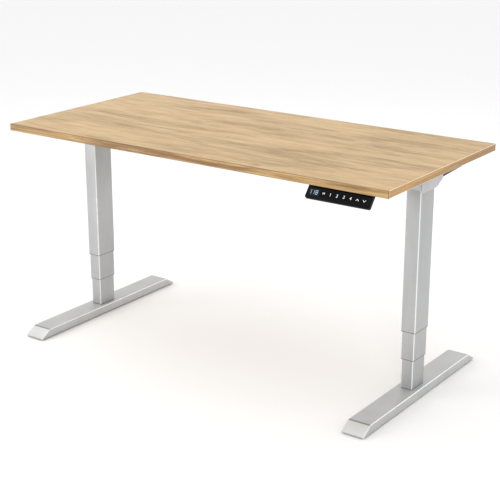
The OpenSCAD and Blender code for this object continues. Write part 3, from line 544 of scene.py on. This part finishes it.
def makeFoot(side):
    low, high = (Vector(corner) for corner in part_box(side + "_foot"))
    channel = addBlock(side + "FootChannel", low, high)
    paint(channel, silver, silverCorner, silverCreasePaintedShade, silverSlopePaintedLight)
    rise = high.z - low.z - foot["nose"]
    for end in (-1, 1):
        y = high.y if end > 0 else low.y
        cutAway(channel, (0, y, low.z + foot["nose"]), (0, end * rise, foot["bevel"]))
    # the sloping ends get the lighter copy of the silver, painted light
    pick(channel, "FACE", lambda middle, normal: foot["slopeShare"] < normal.z < aligned)
    assignPicked(channel, 3)
    pick(channel, "FACE", lambda middle, normal: normal.z < -aligned)
    deletePicked()
    bendY = [low.y + foot["bevel"], high.y - foot["bevel"]]
    # the bends get the darker copy of the silver, painted shade
    pick(channel, "EDGE", lambda middle, way: abs(way.x) > aligned and middle.z > high.z - near
         and min(abs(middle.y - y) for y in bendY) < near)
    bevelPicked(foot["bend"], 3, 2)
    half = (high.x - low.x) / 2
    centre = (high.x + low.x) / 2
    # the folded long edges get the brighter copy, a painted highlight line
    pick(channel, "EDGE", lambda middle, way: abs(abs(middle.x - centre) - half) < near
         and middle.z > low.z + near)
    bevelPicked(foot["fold"], 4, 1)
    thicken(channel, foot["wall"])
    roundEdges(channel, foot["rim"], 2, 60)
    finishPiece(channel, "base", silver, [side + "_foot"], angle=30)


# Levelling feet: a rubber pad under a threaded stud

leveler = dict(padHeight=4.7 * mm, padSides=80, padEdge=1.2 * mm, coreRadius=3.44 * mm,
               threadRadius=3.52 * mm, ridge=0.45 * mm, pitch=1.25 * mm, firstTurn=0.5 * mm)


def makeLeveler(name):
    low, high = (Vector(corner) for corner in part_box(name))
    middle = (low + high) / 2
    padTop = low.z + leveler["padHeight"]
    radius = (high.x - low.x) / 2
    pad = addRound("pad", radius, (middle.x, middle.y, low.z), (middle.x, middle.y, padTop),
                   leveler["padSides"])
    pick(pad, "EDGE", lambda point, way: abs(way.z) < across)
    bevelPicked(leveler["padEdge"], 3)
    stud = addRound("stud", leveler["coreRadius"], (middle.x, middle.y, padTop - mm),
                    (middle.x, middle.y, high.z), 24)
    rings = [stud]
    z = padTop + leveler["firstTurn"]
    while z < high.z - leveler["pitch"]:
        clearSelection()
        bpy.ops.mesh.primitive_torus_add(
            major_segments=24, minor_segments=6, major_radius=leveler["threadRadius"],
            minor_radius=leveler["ridge"], location=(middle.x, middle.y, z))
        settle(bpy.context.object)
        rings.append(bpy.context.object)
        z += leveler["pitch"]
    thread = joinPieces(name.replace("_", "") + "Stud", rings)
    finishPiece(thread, name, zinc)
    finishPiece(pad, name, rubber, [name])
    pad.name = name.replace("_", "") + "Pad"


# Head brackets: folded cheeks that clasp the top of each column

head = dict(wall=3 * mm, fold=2.5 * mm, toe=9 * mm, foot=10.5 * mm, slopeDrop=23 * mm,
            motorSide=29 * mm, motorHole=23 * mm, topZone=5 * mm, rim=0.35 * mm)


def makeHead():
    low, high = (Vector(corner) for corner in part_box("right_head_bracket"))
    tubeLow, tubeHigh = (Vector(corner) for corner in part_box("right_outer_tube"))
    cheek = addBlock("rightHeadBracket", low, high)
    run = high.y - tubeHigh.y - head["foot"]
    cutAway(cheek, (0, high.y, low.z + head["slopeDrop"]), (0, head["slopeDrop"], -run))
    pick(cheek, "EDGE", lambda middle, way: abs(way.x) > aligned and middle.y > 0
         and middle.z < high.z - head["topZone"])
    bevelPicked(head["toe"], 5)
    carve(cheek, addBlock("cutter", (low.x - mm, low.y - mm, low.z - mm),
                          (high.x + mm, tubeLow.y, high.z - head["motorSide"])))
    pick(cheek, "FACE", lambda middle, normal: abs(normal.x) < aligned and middle.z < high.z - mm)
    deletePicked()
    pick(cheek, "EDGE", lambda middle, way: abs(way.y) > aligned and middle.z > high.z - near)
    bevelPicked(head["fold"], 4)
    thicken(cheek, head["wall"])
    motorLow, motorHigh = (Vector(corner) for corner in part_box("right_motor"))
    hub = (motorLow + motorHigh) / 2
    carve(cheek, addRound("cutter", head["motorHole"], (low.x - reach, hub.y, hub.z),
                          (low.x + reach, hub.y, hub.z), 64))
    roundEdges(cheek, head["rim"], 2, 50)
    twin = turnedHalf(cheek, "leftHeadBracket")
    for side, piece in (("right", cheek), ("left", twin)):
        finishPiece(piece, "top", silver, [side + "_head_bracket"], angle=30)


# Side arms: slim black channels that carry the board to its front and back,
# shallower on the motor's side of the column

arm = dict(wall=3 * mm, fold=5 * mm, depth=(45 * mm, 29 * mm), taper=(8 * mm, 2 * mm), drop=1 * mm,
           gap=0.3 * mm, rim=0.4 * mm, tongue=15 * mm, tongueDrop=2.4 * mm)


def makeArm(name, depth, taper, turned):
    low, high = (Vector(corner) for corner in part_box("right_side_arms"))
    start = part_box("right_head_bracket")[1][1] + arm["gap"]
    bottom = high.z + arm["drop"] - depth
    channel = addBlock("channel", (low.x, start, bottom), (high.x, high.y, high.z))
    shift(channel, lambda point: point.y > high.y - mm and point.z < bottom + mm, (0, 0, taper))
    pick(channel, "EDGE", lambda middle, way: middle.y > start + mm and middle.z < high.z - mm
         and (abs(way.x) > aligned or abs(way.z) > aligned))
    bevelPicked(arm["fold"], 4)
    pick(channel, "FACE", lambda middle, normal: normal.z < -aligned or normal.y < -aligned)
    deletePicked()
    thicken(channel, arm["wall"])
    roundEdges(channel, arm["rim"], 2, 50)
    parts = [channel]
    for x in (low.x, high.x - arm["wall"]):
        tongue = addBlock("tongue", (x, start - arm["tongue"], bottom),
                          (x + arm["wall"], start + mm, high.z - arm["tongueDrop"]))
        roundEdges(tongue, arm["rim"], 2, 50)
        parts.append(tongue)
    piece = joinPieces(name, parts)
    if turned:
        middleX = (low.x + high.x) / 2
        piece.matrix_world = (Matrix.Translation((middleX, 0, 0)) @ Matrix.Rotation(math.pi, 4, "Z")
                              @ Matrix.Translation((-middleX, 0, 0)))
        settle(piece)
    return piece


def makeArms():
    for name, twinName, index in (("rightRearArm", "leftFrontArm", 0),
                                  ("rightFrontArm", "leftRearArm", 1)):
        piece = makeArm(name, arm["depth"][index], arm["taper"][index], index == 1)
        twin = turnedHalf(piece, twinName)
        for shown, node in ((twin, "left_side_arms"), (piece, "right_side_arms")):
            finishPiece(shown, "top", black, [node], angle=30)


makeTabletop()
makeColumns()
for side in sides:
    makeFoot(side)
    for end in ("front", "rear"):
        makeLeveler(side + "_" + end + "_leveler")
makeHead()
makeArms()
print("feet, heads and arms made")

# Handset: a black wedge under the board, with a gloss panel, keys and a lit display

handset = dict(lean=38.5, face=46 * mm, length=233 * mm, front=7 * mm, wedge=46.6 * mm, chin=16 * mm,
               flangeFrom=30 * mm, flange=3 * mm, corner=7 * mm, panelEdge=2 * mm, panelDepth=2 * mm,
               panelRim=0.3 * mm, wellInset=3 * mm, wellCorner=2 * mm, wellDepth=8.2 * mm,
               bezel=10 * mm, step=14 * mm, rim=0.8 * mm)


def frontOfHandset():
    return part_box("edge_band_long")[0][1] + handset["front"]


def toFace(piece):  # from the face's own plane to its place under the board
    low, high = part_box("handset_housing")
    piece.matrix_world = (
        Matrix.Translation(((low[0] + high[0]) / 2, frontOfHandset(), high[2]))
        @ Matrix.Rotation(math.radians(90 - handset["lean"]), 4, "X")
        @ Matrix.Translation((0, -handset["face"] / 2, 0)))
    settle(piece)
    return piece


def facePad(name, width, height, low, high, corner, middle=0.0):  # a plate in the face's plane
    plate = addBlock(name, (middle - width / 2, -height / 2, low),
                     (middle + width / 2, height / 2, high))
    pick(plate, "EDGE", lambda point, way: abs(way.z) > aligned)
    bevelPicked(corner, 6)
    return plate


def makeHandsetShell():
    low, high = (Vector(corner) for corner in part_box("handset_housing"))
    faceY = frontOfHandset()
    lean = math.radians(handset["lean"])
    sine, cosine = math.sin(lean), math.cos(lean)
    back = faceY + handset["wedge"]

    def wedge(name, inset):
        block = addBlock(name, (low.x + inset, low.y, low.z), (high.x - inset, back, high.z))
        cutAway(block, (0, faceY, high.z), (0, -cosine, sine))
        cutAway(block, (0, faceY - handset["face"] * sine, high.z - handset["face"] * cosine),
                (0, -sine, -cosine))
        cutAway(block, (0, faceY - handset["chin"], low.z),
                (0, high.z - low.z, -handset["wedge"] - handset["chin"]))
        return block

    shell = wedge("handsetShell", 0)
    half = handset["length"] / 2
    outline = addBlock("outline", (-half, -handset["face"] / 2, -handset["bezel"]),
                       (half, handset["face"] / 2 + 4 * reach, 2 * reach))
    pick(outline, "EDGE", lambda point, way: abs(way.z) > aligned and point.y < 0)
    bevelPicked(handset["corner"], 8)
    carve(shell, toFace(outline), "INTERSECT")
    carve(shell, wedge("core", handset["step"]), "UNION")
    carve(shell, addBlock("flange", (low.x + handset["step"], faceY + handset["flangeFrom"],
                                     high.z - handset["flange"]),
                          (high.x - handset["step"], high.y, high.z)), "UNION")
    wide = handset["length"] - 2 * handset["panelEdge"]
    tall = handset["face"] - 2 * handset["panelEdge"]
    carve(shell, toFace(facePad("recess", wide, tall, -handset["panelDepth"], reach,
                                handset["corner"] - handset["panelEdge"])))
    inset = 2 * handset["wellInset"]
    carve(shell, toFace(facePad("well", wide - inset, tall - inset, -handset["wellDepth"], reach,
                                handset["wellCorner"])))
    roundEdges(shell, handset["rim"], 3, 28)
    finishPiece(shell, "top", housingBlack, ["handset_housing"], angle=28)


keyPad = dict(nodes=("key_memory", "key_1", "key_2", "key_3", "key_4", "key_up", "key_down"),
              legends=("M", "1", "2", "3", "4", "up", "down"), first=-54.5 * mm, pitch=24.2 * mm,
              width=21 * mm, height=25 * mm, gap=0.4 * mm, corner=2 * mm, proud=0.15 * mm,
              depth=3.2 * mm, rim=0.25 * mm, shoulder=1.2 * mm, shoulderDepth=1 * mm,
              shoulderLap=0.05 * mm, dishEdge=1.8 * mm, dish=0.18 * mm,
              letterSize=11.025 * mm, numeralSize=14.175 * mm, thin=0.1 * mm, ink=0.03 * mm,
              barLength=8 * mm, barWidth=1.2 * mm, barRound=0.42, barLean=50, barReach=0.3)
display = dict(middle=-88.5 * mm, width=38 * mm, height=22 * mm, corner=1 * mm, depth=6.6 * mm,
               sink=0.12 * mm, rim=0.2 * mm, fit=0.1 * mm, text="118", digitWidth=6.4 * mm,
               digitHeight=13.5 * mm, stroke=1.3 * mm, strokeGap=0.2, strokeTip=0.45,
               strokeHeight=0.05 * mm, pitch=11.5 * mm, lean=-3.2 * mm)
circuitPlate = dict(sideInset=7 * mm, endInset=6 * mm, rim=0.15 * mm)


def makePanel():
    wide = handset["length"] - 2 * handset["panelEdge"] - 2 * display["fit"]
    tall = handset["face"] - 2 * handset["panelEdge"] - 2 * display["fit"]
    panel = facePad("handsetPanel", wide, tall, -handset["panelDepth"], 0,
                    handset["corner"] - handset["panelEdge"] - display["fit"])
    gap = 2 * keyPad["gap"]
    for index in range(len(keyPad["nodes"])):
        middle = keyPad["first"] + index * keyPad["pitch"]
        carve(panel, facePad("keyHole", keyPad["width"] + gap, keyPad["height"] + gap, -2 * reach,
                             2 * reach, keyPad["corner"] + keyPad["gap"], middle))
    carve(panel, facePad("window", display["width"], display["height"], -2 * reach, 2 * reach,
                         display["corner"], display["middle"]))
    roundEdges(panel, handset["panelRim"], 2, 50)
    finishPiece(toFace(panel), "top", panelBlack, ["handset_panel"], angle=30)


def makeLegend(mark, middle, body):
    top = keyPad["proud"] - keyPad["dish"]
    if mark in ("up", "down"):
        turn = 1 if mark == "up" else -1
        bars = []
        for side in (-1, 1):
            bar = addBlock("bar", (-keyPad["barLength"] / 2, -keyPad["barWidth"] / 2, 0),
                           (keyPad["barLength"] / 2, keyPad["barWidth"] / 2, keyPad["ink"]))
            pick(bar, "EDGE", lambda point, way: abs(way.z) > aligned)
            bevelPicked(keyPad["barWidth"] * keyPad["barRound"], 3)
            bar.rotation_euler = (0, 0, -side * turn * math.radians(keyPad["barLean"]))
            bar.location = (middle + side * keyPad["barLength"] * keyPad["barReach"], 0, top)
            settle(bar)
            bars.append(bar)
        legend = joinPieces("legend" + mark.title(), bars)
    else:
        clearSelection()
        bpy.ops.object.text_add(location=(0, 0, 0))
        legend = bpy.context.object
        legend.data.body = mark
        legend.data.size = keyPad["numeralSize"] if mark.isdigit() else keyPad["letterSize"]
        legend.data.align_x = "CENTER"
        legend.data.align_y = "CENTER"
        legend.data.extrude = keyPad["ink"]
        legend.data.offset = -keyPad["thin"]
        bpy.ops.object.convert(target="MESH")
        legend = bpy.context.object
        legend.location = (middle, 0, top)
        legend.name = "legend" + mark
        settle(legend)
    # the printed legends glow faintly, painted light
    finishPiece(toFace(legend), body, legendWhite)


def makeKeys():
    for index, (node, mark) in enumerate(zip(keyPad["nodes"], keyPad["legends"])):
        middle = keyPad["first"] + index * keyPad["pitch"]
        back = keyPad["proud"] - keyPad["depth"]
        cap = facePad("cap", keyPad["width"], keyPad["height"], back, keyPad["proud"],
                      keyPad["corner"], middle)
        pick(cap, "FACE", lambda point, normal: normal.z > aligned)
        bpy.ops.mesh.inset(thickness=keyPad["dishEdge"])
        bpy.ops.transform.translate(value=(0, 0, -keyPad["dish"]))
        done()
        roundEdges(cap, keyPad["rim"], 2, 60)
        grow = 2 * keyPad["shoulder"]
        shoulder = facePad("shoulder", keyPad["width"] + grow, keyPad["height"] + grow,
                           back - keyPad["shoulderDepth"], back + keyPad["shoulderLap"],
                           keyPad["corner"] + keyPad["shoulder"], middle)
        key = joinPieces(node.replace("_", "") + "Cap", [cap, shoulder])
        finishPiece(toFace(key), node, panelBlack, [node], angle=30)
        makeLegend(mark, middle, node)


def makeDisplay():
    fit, middle = display["fit"], display["middle"]
    glass = facePad("displayGlass", display["width"] - 2 * fit, display["height"] - 2 * fit,
                    -display["depth"], -display["sink"], display["corner"], middle)
    roundEdges(glass, display["rim"], 2, 50)
    finishPiece(toFace(glass), "top", displayBlack, ["handset_display"], angle=30)
    wide = handset["length"] - 2 * circuitPlate["sideInset"]
    tall = handset["face"] - 2 * circuitPlate["endInset"]
    board = facePad("handsetBoard", wide, tall, -handset["wellDepth"], -display["depth"],
                    display["corner"])
    roundEdges(board, circuitPlate["rim"], 1, 50)
    finishPiece(toFace(board), "top", circuit)
    w, h, stroke = display["digitWidth"], display["digitHeight"], display["stroke"]
    reachX = h / 4 - stroke * display["strokeGap"]
    bar = addBlock("segment", (-reachX, -stroke / 2, 0),
                   (reachX, stroke / 2, display["strokeHeight"]))
    pick(bar, "EDGE", lambda point, way: abs(way.z) > aligned)
    bevelPicked(stroke * display["strokeTip"], 1)
    places = {"a": (0, h / 2, 0), "g": (0, 0, 0), "d": (0, -h / 2, 0), "f": (-w / 2, h / 4, 90),
              "b": (w / 2, h / 4, 90), "e": (-w / 2, -h / 4, 90), "c": (w / 2, -h / 4, 90)}
    lit = {"1": "bc", "8": "abcdefg"}
    segments = []
    for index, digit in enumerate(display["text"]):
        start = middle + display["lean"] + (index - (len(display["text"]) - 1) / 2) * display["pitch"]
        for name in lit[digit]:
            x, y, turn = places[name]
            segment = copyPiece(bar, "segment")
            segment.rotation_euler = (0, 0, math.radians(turn))
            segment.location = (start + x, y, -display["sink"])
            settle(segment)
            segments.append(segment)
    bpy.data.objects.remove(bar, do_unlink=True)
    finishPiece(toFace(joinPieces("displayDigits", segments)), "top", digitGlow)


# Motors: a steel can with a flange, a stepped end cap and a boss for the lead

motor = dict(sides=72, canRadius=21 * mm, canRim=1.2 * mm, capDepth=12 * mm, capStep=4 * mm,
             dishEdge=9 * mm, dish=1.2 * mm, flange=6 * mm, flangeRim=0.8 * mm,
             crimps=(0.12, 0.88), crimpRadius=0.8 * mm)
motorScrew = dict(count=3, firstTurn=90, circle=12 * mm, radius=2.1 * mm, sunk=0.4 * mm,
                  proud=1.4 * mm, rim=0.4 * mm)
motorBoss = dict(depth=5 * mm, halfWidth=8 * mm, bottom=6 * mm, top=18 * mm, corner=2.5 * mm,
                 holeRadius=4.6 * mm, holeHeight=12 * mm, holeDepth=4 * mm, rim=0.4 * mm)


def makeMotors():
    low, high = (Vector(corner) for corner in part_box("right_motor"))
    radius = (high.y - low.y) / 2
    y, z = (low.y + high.y) / 2, (low.z + high.z) / 2
    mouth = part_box("right_gearbox")[0][0]
    capEnd = low.x + motorBoss["depth"]
    canEnd = capEnd + motor["capDepth"]
    can = addRound("can", motor["canRadius"], (mouth - motor["flange"], y, z), (canEnd, y, z),
                   motor["sides"])
    pick(can, "FACE", lambda point, normal: normal.x < -aligned)
    bpy.ops.mesh.inset(thickness=motor["capStep"] - (radius - motor["canRadius"]))
    bpy.ops.mesh.extrude_region_move(TRANSFORM_OT_translate={"value": (-motor["capDepth"], 0, 0)})
    done()
    pick(can, "FACE", lambda point, normal: normal.x < -aligned and point.x < capEnd + mm)
    bpy.ops.mesh.inset(thickness=motor["dishEdge"])
    bpy.ops.mesh.extrude_region_move(TRANSFORM_OT_translate={"value": (motor["dish"], 0, 0)})
    done()
    roundEdges(can, motor["canRim"], 3, 50)
    flange = addRound("flange", radius, (mouth - motor["flange"], y, z), (mouth, y, z),
                      motor["sides"])
    roundEdges(flange, motor["flangeRim"], 2, 50)
    parts = [can, flange]
    span = mouth - motor["flange"] - canEnd
    for share in motor["crimps"]:
        clearSelection()
        bpy.ops.mesh.primitive_torus_add(
            major_segments=motor["sides"], minor_segments=8, major_radius=motor["canRadius"],
            minor_radius=motor["crimpRadius"], location=(canEnd + share * span, y, z),
            rotation=(0, math.radians(90), 0))
        settle(bpy.context.object)
        parts.append(bpy.context.object)
    body = joinPieces("rightMotorCan", parts)
    details = []
    for index in range(motorScrew["count"]):
        turn = math.radians(motorScrew["firstTurn"] + 360 / motorScrew["count"] * index)
        screwY = y + motorScrew["circle"] * math.cos(turn)
        screwZ = z + motorScrew["circle"] * math.sin(turn)
        screw = addRound("screw", motorScrew["radius"],
                         (capEnd + motorScrew["sunk"], screwY, screwZ),
                         (capEnd - motorScrew["proud"], screwY, screwZ), 20)
        roundEdges(screw, motorScrew["rim"], 2, 50)
        details.append(screw)
    screws = joinPieces("rightMotorScrews", details)
    bottom = z - radius
    boss = addBlock("rightMotorBoss", (low.x, y - motorBoss["halfWidth"], bottom + motorBoss["bottom"]),
                    (canEnd, y + motorBoss["halfWidth"], bottom + motorBoss["top"]))
    pick(boss, "EDGE", lambda point, way: abs(way.x) > aligned)
    bevelPicked(motorBoss["corner"], 4)
    holeZ = bottom + motorBoss["holeHeight"]
    carve(boss, addRound("hole", motorBoss["holeRadius"], (low.x - mm, y, holeZ),
                         (low.x + motorBoss["holeDepth"], y, holeZ), 32))
    roundEdges(boss, motorBoss["rim"], 2, 50)
    for piece, material, slotName, stands in (
            (body, motorPaint, "motor_paint", True), (screws, zinc, "zinc_steel", False),
            (boss, boxPlastic, "box_plastic", False)):
        twin = turnedHalf(piece, piece.name.replace("right", "left"))
        finishPiece(piece, "top", material, ["right_motor"] if stands else [])
        finishPiece(twin, "top", material, ["left_motor"] if stands else [])


# Control box: a moulded cover with vents and a row of sockets at the back

controlBox = dict(corner=4 * mm, edge=2 * mm, rim=0.4 * mm)
vents = dict(count=10, pitch=7 * mm, width=3 * mm, tip=0.48, fromSide=30 * mm, fromEnd=20 * mm,
             depth=1.2 * mm)
socket = dict(depth=3.5 * mm, gap=0.4 * mm, sunk=0.6 * mm, lip=1.6 * mm, well=2.2 * mm,
              rim=0.25 * mm, pinShares=(-0.42, 0, 0.42), pinHalf=0.5 * mm, pinTall=1.6 * mm,
              pinFrom=3 * mm, pinTo=1.2 * mm,
              places=((-95 * mm, 28 * mm, 20 * mm), (-40 * mm, 16 * mm, 12 * mm),
                      (0, 16 * mm, 12 * mm), (45 * mm, 14 * mm, 12 * mm)))


def makeControlBox():
    low, high = (Vector(corner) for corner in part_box("control_box_cover"))
    centre = (low + high) / 2
    cover = addBlock("controlBoxCover", low, high)
    pick(cover, "EDGE", lambda point, way: abs(way.z) > aligned)
    bevelPicked(controlBox["corner"], 5)
    pick(cover, "EDGE", lambda point, way: abs(way.z) < across and point.z < low.z + near)
    bevelPicked(controlBox["edge"], 3)
    for index in range(vents["count"]):
        x = high.x - vents["fromSide"] - index * vents["pitch"]
        vent = addBlock("vent", (x, low.y + vents["fromEnd"], low.z - mm),
                        (x + vents["width"], high.y - vents["fromEnd"], low.z + vents["depth"]))
        pick(vent, "EDGE", lambda point, way: abs(way.z) > aligned)
        bevelPicked(vents["width"] * vents["tip"], 4)
        carve(cover, vent)
    inserts = []
    floorY = high.y - socket["depth"]
    for place, width, height in socket["places"]:
        x = centre.x + place
        halfX, halfZ = width / 2, height / 2
        carve(cover, addBlock("socket", (x - halfX, floorY, centre.z - halfZ),
                              (x + halfX, high.y + mm, centre.z + halfZ)))
        insertX, insertZ = halfX - socket["gap"], halfZ - socket["gap"]
        insert = addBlock("socketInsert", (x - insertX, floorY, centre.z - insertZ),
                          (x + insertX, high.y - socket["sunk"], centre.z + insertZ))
        pick(insert, "FACE", lambda point, normal: normal.y > aligned)
        bpy.ops.mesh.inset(thickness=socket["lip"])
        bpy.ops.mesh.extrude_region_move(TRANSFORM_OT_translate={"value": (0, -socket["well"], 0)})
        done()
        roundEdges(insert, socket["rim"], 2, 50)
        inserts.append(insert)
        for share in socket["pinShares"]:
            pinX = x + share * halfX
            inserts.append(addBlock(
                "pin",
                (pinX - socket["pinHalf"], high.y - socket["pinFrom"], centre.z - socket["pinTall"]),
                (pinX + socket["pinHalf"], high.y - socket["pinTo"], centre.z + socket["pinTall"])))
    roundEdges(cover, controlBox["rim"], 2, 50)
    finishPiece(cover, "top", boxPlastic, ["control_box_cover"], angle=30)
    finishPiece(joinPieces("controlBoxSockets", inserts), "top", housingBlack)


makeHandsetShell()
makePanel()
makeKeys()
makeDisplay()
print("handset made")
makeMotors()
makeControlBox()
print("motors and control box made")

# Finishes of the parts that are shown as they were made

plainParts = {
    "foot_plates": zinc, "column_bolts": zinc, "tabletop_screws": zinc, "crossbeam_screws": zinc,
    "inner_glides": glidePlastic, "outer_glides": glidePlastic, "lower_nuts": glidePlastic,
    "crossbeam_center": silver, "left_crossbeam": silver, "right_crossbeam": silver,
    "control_box_base": boxPlastic, "control_board": circuit,
}
for side in sides:
    plainParts.update({
        side + "_mid_glides": glidePlastic, side + "_upper_nut": glidePlastic,
        side + "_key_bush": glidePlastic, side + "_upper_screw": turnedSteel,
        side + "_lower_screw": turnedSteel, side + "_worm_shaft": turnedSteel,
        side + "_worm_wheel": bronze, side + "_gearbox": silver,
    })
for name, material in plainParts.items():
    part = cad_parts[name]
    part.data.materials.clear()
    part.data.materials.append(material)
print("carried parts finished")


# Floor, light and camera

studio = dict(floorSize=24, floorTone=tint(251, 251, 251), worldStrength=0.96,
              lamps=(("frontLight", (-2.9, -3.6, 1.9), (0, 0, 0.5), 2.4, 60),
                     ("cameraLight", (2.9, -3.3, 2.6), (0, 0, 0.5), 0.8, 25),
                     ("overheadLight", (-1.5, -0.1, 3.1), (-1.4, -0.1, 0), 2.6, 14),
                     ("backLight", (1.2, 3.4, 2.6), (0, 0, 0.3), 1.2, 15)))
view = dict(place=(2.531, -3.522, 1.826), turn=35.45, tilt=18.32, lens=89.1)


def makeStudio():
    clearSelection()
    bpy.ops.mesh.primitive_plane_add(size=studio["floorSize"], location=(0, 0, 0))
    floor = bpy.context.object
    floor.name = "studioFloor"
    floorPaint = Finish("studioFloorPaint", studio["floorTone"], 0.8)
    floorPaint.bump(floorPaint.noise((40, 40, 40), detail=2.0), 0.0005, 0.1)
    floor.data.materials.append(floorPaint.material)
    scene = bpy.context.scene
    scene.view_settings.view_transform = "Standard"
    scene.world = bpy.data.worlds.new("studioAir")
    scene.world.use_nodes = True
    air = scene.world.node_tree.nodes["Background"]
    air.inputs["Color"].default_value = (1, 1, 1, 1)
    air.inputs["Strength"].default_value = studio["worldStrength"]
    for name, place, aim, size, power in studio["lamps"]:
        clearSelection()
        bpy.ops.object.light_add(type="AREA", location=place)
        lamp = bpy.context.object
        lamp.name = name
        lamp.data.size = size
        lamp.data.energy = power
        lamp.rotation_euler = (Vector(aim) - Vector(place)).to_track_quat("-Z", "Y").to_euler()


def makeCamera():
    clearSelection()
    bpy.ops.object.camera_add(location=view["place"])
    camera = bpy.context.object
    camera.name = "deskCamera"
    camera.rotation_euler = (math.radians(90 - view["tilt"]), 0, math.radians(view["turn"]))
    camera.data.lens = view["lens"]
    camera.data.sensor_width = 36
    camera.data.clip_end = 60
    bpy.context.scene.camera = camera


makeStudio()
makeCamera()
print("studio and camera ready")
